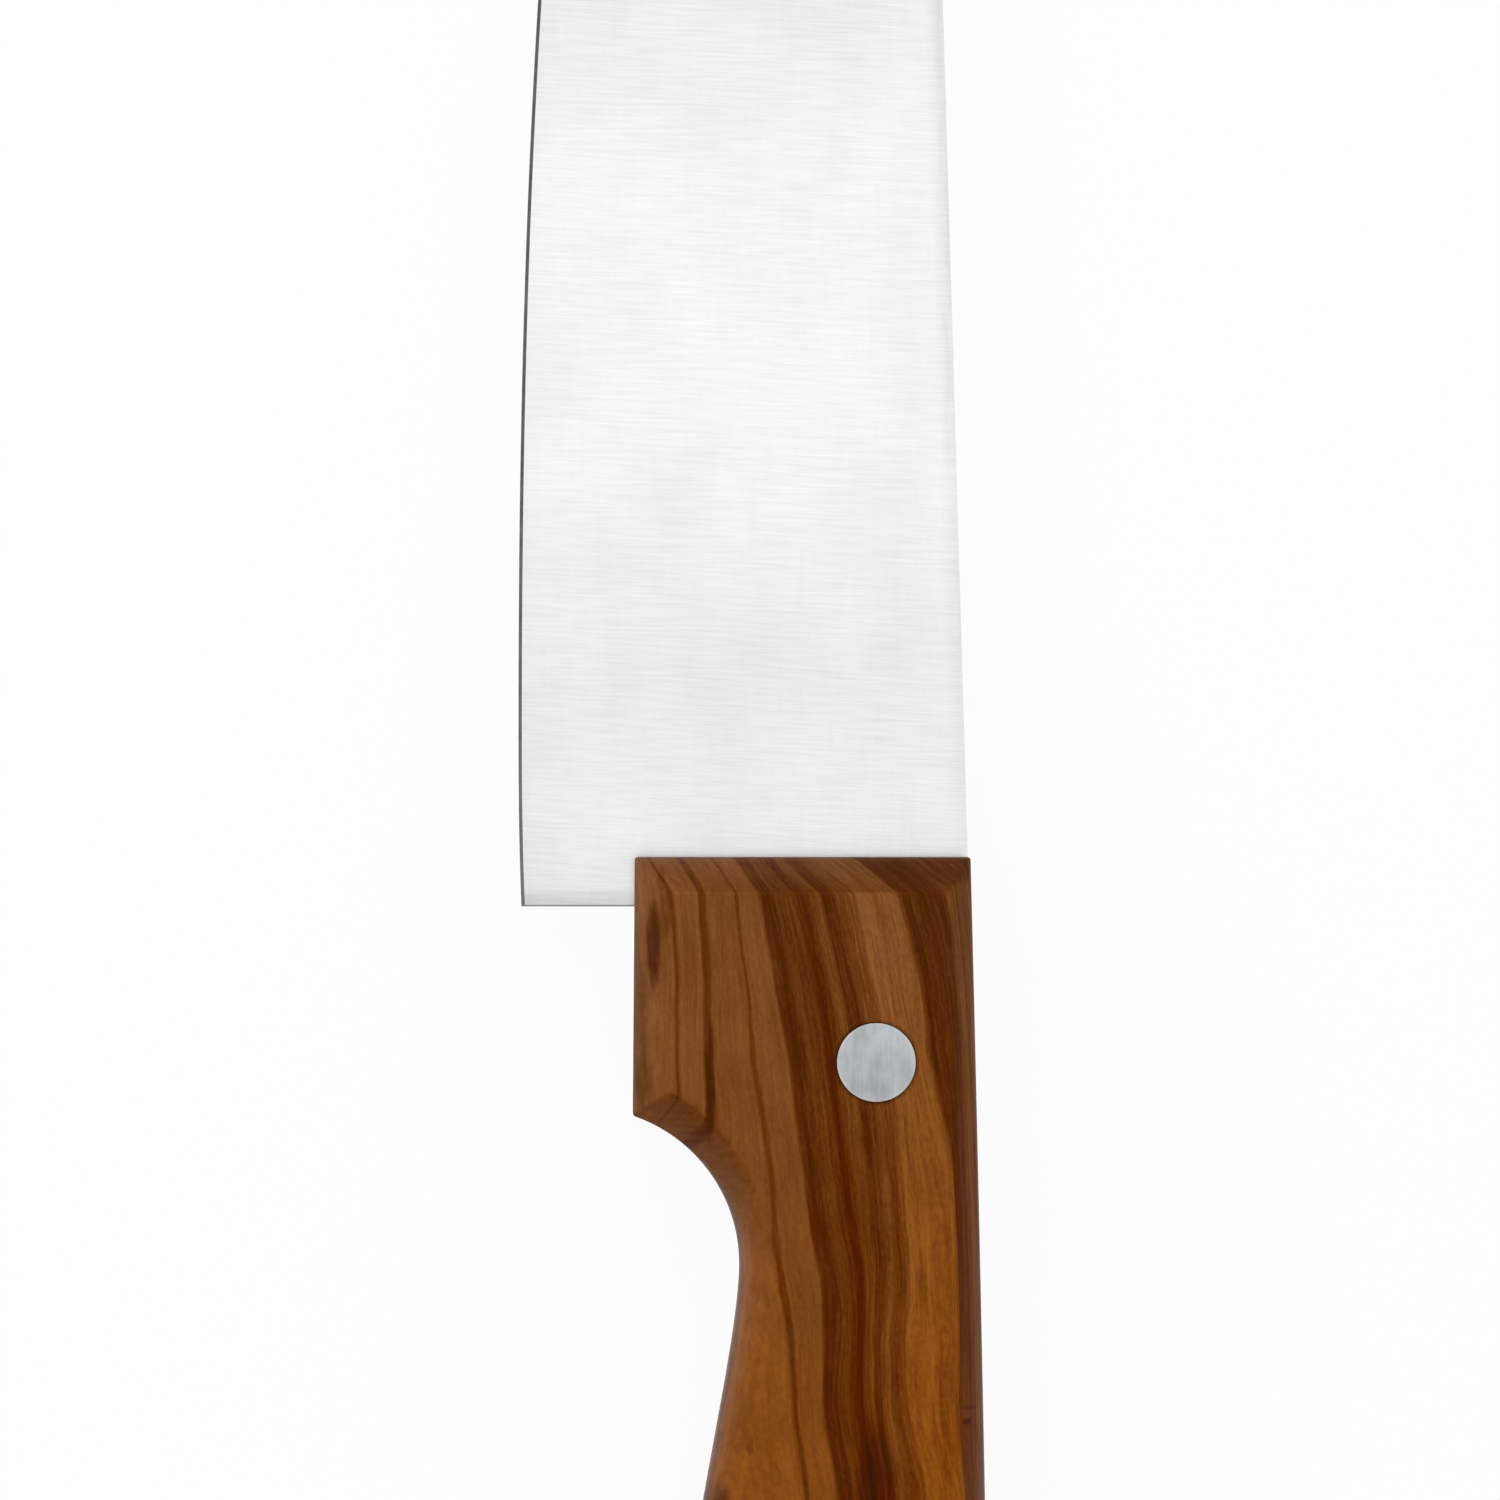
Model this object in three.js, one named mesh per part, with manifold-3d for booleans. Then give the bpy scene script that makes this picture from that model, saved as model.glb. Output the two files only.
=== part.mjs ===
// Santoku kitchen knife: a taper-ground blade with a full tang, two wooden handle scales
// and two cutler's rivets, each pressed together from a socket half and a pin half.
//
// Millimetres. The knife lies on its side: +Y points to the tip, +X to the spine, +Z up.
// Pieces are drawn from one datum: Y = 0 is the handle's front face, X = 0 is the spine line
// where it meets that face, and Z = 0 is the middle of the steel.
import * as THREE from "three";
import { mergeVertices } from "three/addons/utils/BufferGeometryUtils.js";
import Module from "manifold-3d";

// Blade
const CUTTING_EDGE_LENGTH = 180; // heel to tip, along the knife
const BLADE_HEIGHT = 45.4; // spine line down to the lowest point of the edge
const STEEL_THICKNESS = 2.0; // spine at the handle, and the whole tang
const TIP_SPINE_THICKNESS = 1.2; // what the spine line tapers to at the tip
const SPINE_DROP_ANGLE = 1.67; // degrees, falling towards the tip
const SHEEPSFOOT_LENGTH = 48; // stretch before the tip where the spine curves down
const HEEL_SETBACK = 5; // the heel stands this far behind the handle's front
const HEEL_RELIEF = 0.3; // the edge lifts this much at the heel
const EDGE_LOWEST_FROM_HEEL = 17; // where the edge touches a flat board
const TIP_LIFT = 12; // the tip stands this far above the lowest point
const TIP_HEIGHT = 0.5; // the very tip is this blunt
const BELLY_POWER = 2.3; // how late the edge sweeps up to the tip
const EDGE_BEVEL_HEIGHT = 0.35; // sharpened bevel
const THICKNESS_BEHIND_EDGE = 0.25; // across the top of that bevel
const SPINE_EASE = 0.15; // broken corners along the spine
const HEEL_GRIND_HEIGHT = 9; // the ground taper at the handle reaches up to here
const GRIND_SWEEP_LENGTH = 60; // ahead of the handle, the taper reaches the spine

// Handle, measured back from its front face and down from the spine line
const HANDLE_LENGTH = 120;
const SCALE_THICKNESS = 8.5;
const BACK_AT_FRONT = 0.2; // the handle's back stands proud of the spine line
const BACK_AT_BUTT = 2.4;
const BACK_BOW = 0.12; // bulge of the back over a straight line
const NOSE_LENGTH = 26; // straight block ahead of the finger notch
const NOSE_DEPTH_FRONT = 33.6;
const NOSE_DEPTH_REAR = 33.8;
const FINGER_NOTCH_RADIUS = 15.8;
const WAIST_DEPTH = 23.1;
const WAIST_LEAD = 10; // how far the curves run straight at the waist and at the swell
const SWELL_LEAD = 22;
const SWELL_DEPTH = 30.2; // widest place near the butt
const SWELL_FROM_BUTT = 23;
const BUTT_CREST_DEPTH = 13.5; // rearmost point of the butt
const BACK_CORNER_FROM_BUTT = 16; // where the back starts to round into the butt
const BUTT_FULLNESS = 0.6; // 0.55 gives elliptic corners, more gives squarer ones
const TANG_INSET = 0.1; // the tang's rim lies this far inside the wood's

// Eased rims of the scales: width seen from above, depth down the side, and roundness
// from 0, a flat chamfer, to 1, a full quarter round.
const NOSE_RIM = { width: 3.7, depth: 2.3, roundness: 0.1 };
const NOTCH_RIM = { width: 4.0, depth: 2.3, roundness: 0.1 };
const GRIP_RIM = { width: 4.6, depth: 5.2, roundness: 1 };
const BACK_RIM = { width: 2.8, depth: 2.3, roundness: 0.4 };

// Rivets
const RIVET_HEAD_DIAMETER = 8;
const RIVET_HEAD_THICKNESS = 2.5;
const RIVET_TUBE_DIAMETER = 5;
const RIVET_PIN_DIAMETER = 3.2;
const RIVET_CLEARANCE = 0.1; // around heads, tubes and pins
const RIVET_SINK = 0.05; // heads lie this far under the wood
const RIVET_EASE = 0.15; // broken edges on heads and pin ends
const RIVET_END_GAP = 1.5; // between a tube or pin end and the head that it faces
const FRONT_RIVET = { fromFront: 20.6, depth: 9.3 };
const REAR_RIVET = { fromButt: 24, depth: 13 };

// Fineness of the facets; a blade face has its points at these shares from bevel to spine.
const FACE_SHARES = [0, 0.06, 0.12, 0.2, 0.35, 0.5, 0.65, 0.8, 1];
const EDGE_STATIONS = 26;
const SHEEPSFOOT_STATIONS = 16;
const CURVE_STEPS = 16;
const RIM_STEPS = 4;
const ROUND_STEPS = 36;

// Working out the handle's outline: the share of a stretch over which its direction is taken,
// and the rounds for finding where two stretches cross.
const HAIR = 1e-4;
const CROSSING_ROUNDS = 6;

const wasm = await Module();
wasm.setup();

// A closed three.js geometry as a solid that can be joined and cut.
function solidOf(geometry) {
  const bare = geometry.clone();
  bare.deleteAttribute("normal");
  bare.deleteAttribute("uv");
  const merged = mergeVertices(bare);
  return new wasm.Manifold(
    new wasm.Mesh({
      numProp: 3,
      vertProperties: new Float32Array(merged.attributes.position.array),
      triVerts: new Uint32Array(merged.index.array),
    }),
  );
}

function geometryOf(solid) {
  const mesh = solid.getMesh();
  const geometry = new THREE.BufferGeometry();
  geometry.setAttribute("position", new THREE.BufferAttribute(mesh.vertProperties, 3));
  geometry.setIndex(new THREE.BufferAttribute(mesh.triVerts, 1));
  geometry.computeVertexNormals();
  return geometry;
}

// Skins rings of equal length into one closed body. Each ring runs anticlockwise when seen
// against the direction in which the rings advance; flatten gives that view as 2D points.
function loft(rings, flatten) {
  const size = rings[0].length;
  const indices = [];
  for (let ring = 0; ring + 1 < rings.length; ring++) {
    for (let i = 0; i < size; i++) {
      const a = ring * size + i;
      const b = ring * size + ((i + 1) % size);
      indices.push(a, b, b + size, a, b + size, a + size);
    }
  }
  const last = (rings.length - 1) * size;
  for (const [a, b, c] of THREE.ShapeUtils.triangulateShape(rings[0].map(flatten), [])) {
    indices.push(a, c, b);
  }
  for (const [a, b, c] of THREE.ShapeUtils.triangulateShape(rings.at(-1).map(flatten), [])) {
    indices.push(last + a, last + b, last + c);
  }
  const geometry = new THREE.BufferGeometry().setFromPoints(rings.flat());
  return geometry.setIndex(indices);
}

// Blade lines, as functions of y, the place along the knife
const heelY = -HEEL_SETBACK;
const tipY = heelY + CUTTING_EDGE_LENGTH;
const lowestY = heelY + EDGE_LOWEST_FROM_HEEL;
const spineSlope = Math.tan(THREE.MathUtils.degToRad(SPINE_DROP_ANGLE));

function spineLineX(y) {
  return -spineSlope * y;
}

function edgeX(y) {
  const towardsTip = y > lowestY;
  const reach = towardsTip ? tipY - lowestY : lowestY - heelY;
  const lift = towardsTip ? TIP_LIFT : HEEL_RELIEF;
  return -BLADE_HEIGHT + lift * (Math.abs(y - lowestY) / reach) ** BELLY_POWER;
}

// The sheepsfoot is one arc, tangent to the spine line, that ends on top of the blunt tip.
function sheepsfootArc() {
  const startY = tipY - SHEEPSFOOT_LENGTH;
  const start = new THREE.Vector2(spineLineX(startY), startY);
  const along = new THREE.Vector2(-spineSlope, 1).normalize();
  const inward = new THREE.Vector2(-along.y, along.x);
  const toTip = new THREE.Vector2(edgeX(tipY) + TIP_HEIGHT, tipY).sub(start);
  const radius = toTip.lengthSq() / (2 * toTip.dot(inward));
  const centre = start.clone().addScaledVector(inward, radius);
  const sweep = 2 * Math.atan2(toTip.dot(inward), toTip.dot(along));
  return { start, along, inward, centre, radius, sweep };
}

// Thickness of the steel at y, h above the edge: a narrow bevel, then a flat taper that reaches
// full thickness low down beside the handle and only at the spine further out.
function thicknessAt(y, h) {
  const outward = THREE.MathUtils.clamp(y / tipY, 0, 1);
  const full = THREE.MathUtils.lerp(STEEL_THICKNESS, TIP_SPINE_THICKNESS, outward);
  const sweep = THREE.MathUtils.smoothstep(y, 0, GRIND_SWEEP_LENGTH);
  const spineHeight = spineLineX(y) - edgeX(y);
  const grindHeight = THREE.MathUtils.lerp(HEEL_GRIND_HEIGHT, spineHeight, sweep);
  const share = Math.min(h / grindHeight, 1);
  return THREE.MathUtils.lerp(THICKNESS_BEHIND_EDGE, full, share);
}

// One cross section of the blade, from the edge up one face, over the spine and down the other.
// The bevel and the spine's broken corners shrink with the blade towards the tip.
function bladeSection(y, topX) {
  const bottomX = edgeX(y);
  const height = topX - bottomX;
  const spineThickness = thicknessAt(y, height);
  const bevel = Math.min(EDGE_BEVEL_HEIGHT, height / 2);
  const ease = Math.min(SPINE_EASE, spineThickness / 4);
  const face = FACE_SHARES.map((share) => {
    const h = THREE.MathUtils.lerp(bevel, height - ease, share);
    return [bottomX + h, thicknessAt(y, h) / 2];
  });
  face.push([topX, spineThickness / 2 - ease]);
  const up = face.map(([x, z]) => new THREE.Vector3(x, y, z));
  const down = face.toReversed().map(([x, z]) => new THREE.Vector3(x, y, -z));
  return [new THREE.Vector3(bottomX, y, 0), ...up, ...down];
}

function bladeGeometry() {
  const arc = sheepsfootArc();
  const sections = [];
  for (let i = 0; i <= EDGE_STATIONS; i++) {
    const y = THREE.MathUtils.lerp(heelY, arc.start.y, i / EDGE_STATIONS);
    sections.push(bladeSection(y, spineLineX(y)));
  }
  for (let i = 1; i <= SHEEPSFOOT_STATIONS; i++) {
    const angle = (arc.sweep * i) / SHEEPSFOOT_STATIONS;
    const top = arc.centre
      .clone()
      .addScaledVector(arc.inward, -arc.radius * Math.cos(angle))
      .addScaledVector(arc.along, arc.radius * Math.sin(angle));
    sections.push(bladeSection(top.y, top.x));
  }
  return loft(sections, (p) => new THREE.Vector2(p.z, p.x));
}

// Handle outline, anticlockwise from the front corner at the back. Each stretch has the rim
// that it starts with and the rim that it ends with, and says whether it starts at a corner.
function handleStretches() {
  const point = (x, y) => new THREE.Vector2(x, y);
  const frontBack = point(BACK_AT_FRONT, 0);
  const frontNose = point(-NOSE_DEPTH_FRONT, 0);
  const notchStart = point(-NOSE_DEPTH_REAR, -NOSE_LENGTH);
  const notchCentreX = -WAIST_DEPTH - FINGER_NOTCH_RADIUS;
  const startAngle = Math.acos((notchStart.x - notchCentreX) / FINGER_NOTCH_RADIUS);
  const waistY = notchStart.y - FINGER_NOTCH_RADIUS * Math.sin(startAngle);
  const waist = point(-WAIST_DEPTH, waistY);
  const swell = point(-SWELL_DEPTH, -HANDLE_LENGTH + SWELL_FROM_BUTT);
  const crest = point(-BUTT_CREST_DEPTH, -HANDLE_LENGTH);
  const backCorner = point(BACK_AT_BUTT, -HANDLE_LENGTH + BACK_CORNER_FROM_BUTT);
  const backMiddle = frontBack.clone().lerp(backCorner, 0.5);
  backMiddle.x += 2 * BACK_BOW;

  const towards = (from, to, share) => from + (to - from) * share;
  const notch = new THREE.EllipseCurve(
    notchCentreX, waistY, FINGER_NOTCH_RADIUS, FINGER_NOTCH_RADIUS, startAngle, 0, true,
  );
  const waistToSwell = new THREE.CubicBezierCurve(
    waist,
    point(waist.x, waist.y - WAIST_LEAD),
    point(swell.x, swell.y + SWELL_LEAD),
    swell,
  );
  const swellToCrest = new THREE.CubicBezierCurve(
    swell,
    point(swell.x, towards(swell.y, crest.y, BUTT_FULLNESS)),
    point(towards(crest.x, swell.x, BUTT_FULLNESS), crest.y),
    crest,
  );
  const crestToBack = new THREE.CubicBezierCurve(
    crest,
    point(towards(crest.x, backCorner.x, BUTT_FULLNESS), crest.y),
    point(backCorner.x, towards(backCorner.y, crest.y, BUTT_FULLNESS)),
    backCorner,
  );
  const back = new THREE.QuadraticBezierCurve(backCorner, backMiddle, frontBack);
  const stretch = (curve, steps, rims, corner = false) => ({ curve, steps, rims, corner });
  return [
    stretch(new THREE.LineCurve(frontBack, frontNose), 1, [NOSE_RIM, NOSE_RIM], true),
    stretch(new THREE.LineCurve(frontNose, notchStart), 1, [NOTCH_RIM, NOTCH_RIM], true),
    stretch(notch, CURVE_STEPS, [NOTCH_RIM, GRIP_RIM], true),
    stretch(waistToSwell, CURVE_STEPS, [GRIP_RIM, GRIP_RIM]),
    stretch(swellToCrest, CURVE_STEPS, [GRIP_RIM, GRIP_RIM]),
    stretch(crestToBack, CURVE_STEPS, [GRIP_RIM, GRIP_RIM]),
    stretch(back, CURVE_STEPS, [GRIP_RIM, BACK_RIM]),
  ];
}

function rimAt({ rims: [first, last] }, share) {
  const eased = THREE.MathUtils.smoothstep(share, 0, 1);
  const mix = (key) => THREE.MathUtils.lerp(first[key], last[key], eased);
  return { width: mix("width"), depth: mix("depth"), roundness: mix("roundness") };
}

// A point of a stretch, moved by what move(rim) gives: how far inwards, and how high.
function movedPoint(stretch, share, move) {
  const along = stretch.curve.getTangent(share);
  const [inward, height] = move(rimAt(stretch, share));
  const at = stretch.curve.getPoint(share);
  return new THREE.Vector3(at.x - along.y * inward, at.y + along.x * inward, height);
}

// Where a moved stretch is, seen from above, and how it runs on from there.
function courseAt(stretch, share, move) {
  const before = movedPoint(stretch, share - HAIR, move);
  const after = movedPoint(stretch, share + HAIR, move);
  return {
    here: new THREE.Vector2(before.x + after.x, before.y + after.y).multiplyScalar(1 / 2),
    along: new THREE.Vector2(after.x - before.x, after.y - before.y).divideScalar(2 * HAIR),
  };
}

// Two stretches that meet at a corner cross elsewhere once they are moved: the share of the first
// where it then ends and the share of the second where it then starts, found by Newton's method.
function crossing(first, second, move) {
  let end = 1;
  let start = 0;
  for (let round = 0; round < CROSSING_ROUNDS; round++) {
    const a = courseAt(first, end, move);
    const b = courseAt(second, start, move);
    const gap = b.here.sub(a.here);
    const turn = a.along.cross(b.along);
    end += gap.cross(b.along) / turn;
    start += gap.cross(a.along) / turn;
  }
  return [end, start];
}

// The handle's outline, moved by what move(rim) gives.
function outlineRing(move) {
  const stretches = handleStretches();
  const spans = stretches.map(() => [0, 1]);
  stretches.forEach((stretch, i) => {
    if (stretch.corner) {
      const before = (i + stretches.length - 1) % stretches.length;
      [spans[before][1], spans[i][0]] = crossing(stretches[before], stretch, move);
    }
  });
  return stretches.flatMap((stretch, i) =>
    Array.from({ length: stretch.steps }, (_, step) =>
      movedPoint(stretch, THREE.MathUtils.lerp(...spans[i], step / stretch.steps), move),
    ),
  );
}

function holeCentres() {
  return {
    front: new THREE.Vector2(-FRONT_RIVET.depth, -FRONT_RIVET.fromFront),
    rear: new THREE.Vector2(-REAR_RIVET.depth, -HANDLE_LENGTH + REAR_RIVET.fromButt),
  };
}

// Heights above the middle of the steel
const tangFace = STEEL_THICKNESS / 2;
const scaleFace = tangFace + SCALE_THICKNESS;
const headTop = scaleFace - RIVET_SINK;
const headSeat = headTop - RIVET_HEAD_THICKNESS;

function tangGeometry() {
  const shape = new THREE.Shape(outlineRing(() => [TANG_INSET, 0]));
  for (const centre of Object.values(holeCentres())) {
    const hole = new THREE.Path();
    hole.absarc(centre.x, centre.y, RIVET_TUBE_DIAMETER / 2 + RIVET_CLEARANCE, 0, 2 * Math.PI);
    shape.holes.push(hole);
  }
  const tang = new THREE.ExtrudeGeometry(shape, {
    depth: STEEL_THICKNESS,
    bevelEnabled: false,
    curveSegments: ROUND_STEPS / 2,
  });
  return tang.translate(0, 0, -tangFace);
}

// A round solid about Z from its half profile, given as pairs of radius and height.
function turned(profile) {
  const points = profile.map(([r, z]) => new THREE.Vector2(r, z));
  return new THREE.LatheGeometry(points, ROUND_STEPS).rotateX(Math.PI / 2);
}

// The stepped hole that a rivet sits in: a wide seat for the head and a through bore.
function rivetHole(centre) {
  const head = RIVET_HEAD_DIAMETER / 2 + RIVET_CLEARANCE;
  const tube = RIVET_TUBE_DIAMETER / 2 + RIVET_CLEARANCE;
  const above = scaleFace + RIVET_HEAD_THICKNESS;
  const profile = [[0, 0], [tube, 0], [tube, headSeat], [head, headSeat], [head, above], [0, above]];
  return turned(profile).translate(centre.x, centre.y, 0);
}

function scaleGeometry() {
  const rings = [outlineRing(() => [0, tangFace])];
  for (let step = 0; step <= RIM_STEPS; step++) {
    const share = step / RIM_STEPS;
    const turn = (share * Math.PI) / 2;
    rings.push(
      outlineRing(({ width, depth, roundness }) => {
        const inward = THREE.MathUtils.lerp(share, 1 - Math.cos(turn), roundness);
        const upward = THREE.MathUtils.lerp(share, Math.sin(turn), roundness);
        return [width * inward, scaleFace - depth * (1 - upward)];
      }),
    );
  }
  let solid = solidOf(loft(rings, (p) => new THREE.Vector2(p.x, p.y)));
  for (const centre of Object.values(holeCentres())) {
    solid = solid.subtract(solidOf(rivetHole(centre)));
  }
  return geometryOf(solid);
}

// The socket half comes up from the lower side; its tube takes the pin half from above.
function rivetSocketGeometry() {
  const head = RIVET_HEAD_DIAMETER / 2;
  const tube = RIVET_TUBE_DIAMETER / 2;
  const bore = RIVET_PIN_DIAMETER / 2 + RIVET_CLEARANCE;
  const tubeEnd = headSeat - RIVET_END_GAP;
  return turned([
    [0, -headTop],
    [head - RIVET_EASE, -headTop],
    [head, -headTop + RIVET_EASE],
    [head, -headSeat],
    [tube, -headSeat],
    [tube, tubeEnd],
    [bore, tubeEnd],
    [bore, -headSeat],
    [0, -headSeat],
  ]);
}

function rivetPinGeometry() {
  const head = RIVET_HEAD_DIAMETER / 2;
  const pin = RIVET_PIN_DIAMETER / 2;
  const pinEnd = -headSeat + RIVET_END_GAP;
  return turned([
    [0, pinEnd],
    [pin - RIVET_EASE, pinEnd],
    [pin, pinEnd + RIVET_EASE],
    [pin, headSeat],
    [head, headSeat],
    [head, headTop - RIVET_EASE],
    [head - RIVET_EASE, headTop],
    [0, headTop],
  ]);
}

const steel = new THREE.MeshStandardMaterial({ color: 0xe2e3e3, roughness: 0.35, metalness: 1 });
const oliveWood = new THREE.MeshStandardMaterial({ color: 0x7a4620, roughness: 0.5, metalness: 0 });
const aluminium = new THREE.MeshStandardMaterial({ color: 0xb6babd, roughness: 0.4, metalness: 1 });

function piece(name, geometry, material) {
  const mesh = new THREE.Mesh(geometry, material);
  mesh.name = name;
  return mesh;
}

const knife = new THREE.Group();

const bladeAndTang = geometryOf(solidOf(bladeGeometry()).add(solidOf(tangGeometry())));
knife.add(piece("blade_and_tang", bladeAndTang, steel));

const upperScale = piece("upper_scale", scaleGeometry(), oliveWood);
const lowerScale = piece("lower_scale", scaleGeometry(), oliveWood);
lowerScale.scale.z = -1;
knife.add(upperScale, lowerScale);

for (const [place, centre] of Object.entries(holeCentres())) {
  const rivet = new THREE.Group();
  rivet.position.set(centre.x, centre.y, 0);
  rivet.add(piece(`${place}_rivet_socket`, rivetSocketGeometry(), aluminium));
  rivet.add(piece(`${place}_rivet_pin`, rivetPinGeometry(), aluminium));
  knife.add(rivet);
}

// The part's origin is the middle of its footprint, on the surface that the handle lies on.
const bounds = new THREE.Box3().setFromObject(knife);
const middle = bounds.getCenter(new THREE.Vector3());
knife.position.set(-middle.x, -middle.y, -bounds.min.z);

const part = new THREE.Group();
part.add(knife);

export default part;
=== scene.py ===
"""Santoku knife: a satin blade with a full tang, olive wood scales and flush rivets.

The pieces are drawn from one datum, as on a maker's drawing: x = 0 is the spine line where it
meets the handle's front face, y = 0 is that face and z = 0 is the middle of the steel. +Y points
to the tip, +X to the spine and +Z up, away from the surface that the knife lies on.
"""

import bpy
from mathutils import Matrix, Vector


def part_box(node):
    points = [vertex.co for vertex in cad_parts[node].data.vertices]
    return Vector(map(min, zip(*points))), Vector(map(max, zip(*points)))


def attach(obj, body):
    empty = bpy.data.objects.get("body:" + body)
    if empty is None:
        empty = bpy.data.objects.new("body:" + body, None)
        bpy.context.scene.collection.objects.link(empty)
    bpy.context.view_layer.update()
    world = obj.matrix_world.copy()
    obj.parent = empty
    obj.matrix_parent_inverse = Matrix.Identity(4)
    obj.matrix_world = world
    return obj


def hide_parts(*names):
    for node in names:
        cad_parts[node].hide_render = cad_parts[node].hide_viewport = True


bl_info = {
    "name": "Santoku Knife",
    "version": (1, 0, 0),
    "blender": (4, 5, 0),
    "location": "View3D > Sidebar > Santoku",
    "description": "Builds a santoku knife: satin blade, olive wood scales and flush rivets",
    "category": "Add Mesh",
}

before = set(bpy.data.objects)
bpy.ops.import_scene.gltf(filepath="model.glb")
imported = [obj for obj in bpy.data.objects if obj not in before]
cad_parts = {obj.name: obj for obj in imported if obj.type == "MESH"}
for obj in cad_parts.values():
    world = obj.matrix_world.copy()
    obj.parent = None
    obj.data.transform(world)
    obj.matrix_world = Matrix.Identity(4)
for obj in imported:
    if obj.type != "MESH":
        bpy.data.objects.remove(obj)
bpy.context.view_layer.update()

import math
from collections import namedtuple

import bmesh
import bpy
from bpy.props import FloatProperty, FloatVectorProperty, PointerProperty
from mathutils import Matrix, Vector

MM = 0.001

# Fineness of the meshes
BLADE_STATIONS = 182
SECTION_STEPS = {"bevel": 2, "face": 32, "ease": 4, "spine": 2}
NOTCH_STEPS = 32
GRIP_STEPS = 64
BUTT_STEPS = 40
BACK_STEPS = 64
RIM_STEPS = 12
CORNER_STEPS = 4
RIVET_SEGMENTS = 96
WELD_DISTANCE = 0.0005 * MM
SHARP_ANGLE = math.radians(28)

# Working out the handle's outline
HAIR = 0.001  # share of a stretch over which its direction is taken
CROSSING_ROUNDS = 6  # rounds in which two stretches find where they cross


def length(name, millimetres, description):
    """A size, kept in metres."""
    return FloatProperty(
        name=name, description=description, default=millimetres * MM, precision=5, unit="LENGTH"
    )


def share(name, default, description):
    """A plain share from 0 to 1."""
    return FloatProperty(name=name, description=description, default=default, min=0.0, max=1.0)


def colour(name, default, description):
    """A linear colour."""
    return FloatVectorProperty(
        name=name, description=description, default=default, subtype="COLOR", min=0.0, max=1.0
    )


class SantokuBladeSettings(bpy.types.PropertyGroup):
    """Sizes and colours of the blade."""

    edge_length: length("Cutting edge", 180, "Heel to tip, along the knife")
    height: length("Height", 45.4, "Spine line down to the lowest point of the edge")
    thickness: length("Thickness", 2.0, "Spine at the handle, and the whole tang")
    tip_thickness: length("Tip thickness", 1.2, "What the spine line tapers to at the tip")
    spine_drop: FloatProperty(
        name="Spine drop",
        description="How steeply the spine line falls towards the tip",
        default=math.radians(1.67),
        unit="ROTATION",
    )
    sheepsfoot_length: length("Sheepsfoot", 48, "Stretch where the spine curves down to the tip")
    heel_setback: length("Heel setback", 5, "How far the heel stands behind the handle's front")
    heel_relief: length("Heel relief", 0.3, "How far the edge lifts at the heel")
    lowest_from_heel: length("Lowest point", 17, "Heel to where the edge touches a flat board")
    tip_lift: length("Tip lift", 12, "How far the tip stands above the lowest point")
    tip_height: length("Tip height", 0.5, "How blunt the very tip is")
    belly_power: FloatProperty(
        name="Belly", description="How late the edge sweeps up to the tip", default=2.3, min=1.0
    )
    bevel_height: length("Edge bevel", 0.35, "Height of the sharpened bevel")
    edge_thickness: length("Behind the edge", 0.25, "Thickness across the top of the bevel")
    ease: length("Broken edges", 0.15, "Broken corners along the spine and at the heel")
    heel_grind: length("Grind at the handle", 9, "How far up the taper reaches at the handle")
    grind_sweep: length("Grind sweep", 60, "Ahead of the handle, where the taper meets the spine")
    grind_softness: share("Grind softness", 0.15, "How softly the taper runs out, as a share of it")
    tang_inset: length("Tang inset", 0.1, "How far the tang lies inside the wood's outline")
    satin: colour("Satin steel", (0.865, 0.865, 0.865), "Ground faces")
    # the bevel's dark colour is a painted reflection of dark surroundings
    bevel: colour("Edge bevel steel", (0.14, 0.14, 0.145), "Sharpened bevel")


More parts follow.
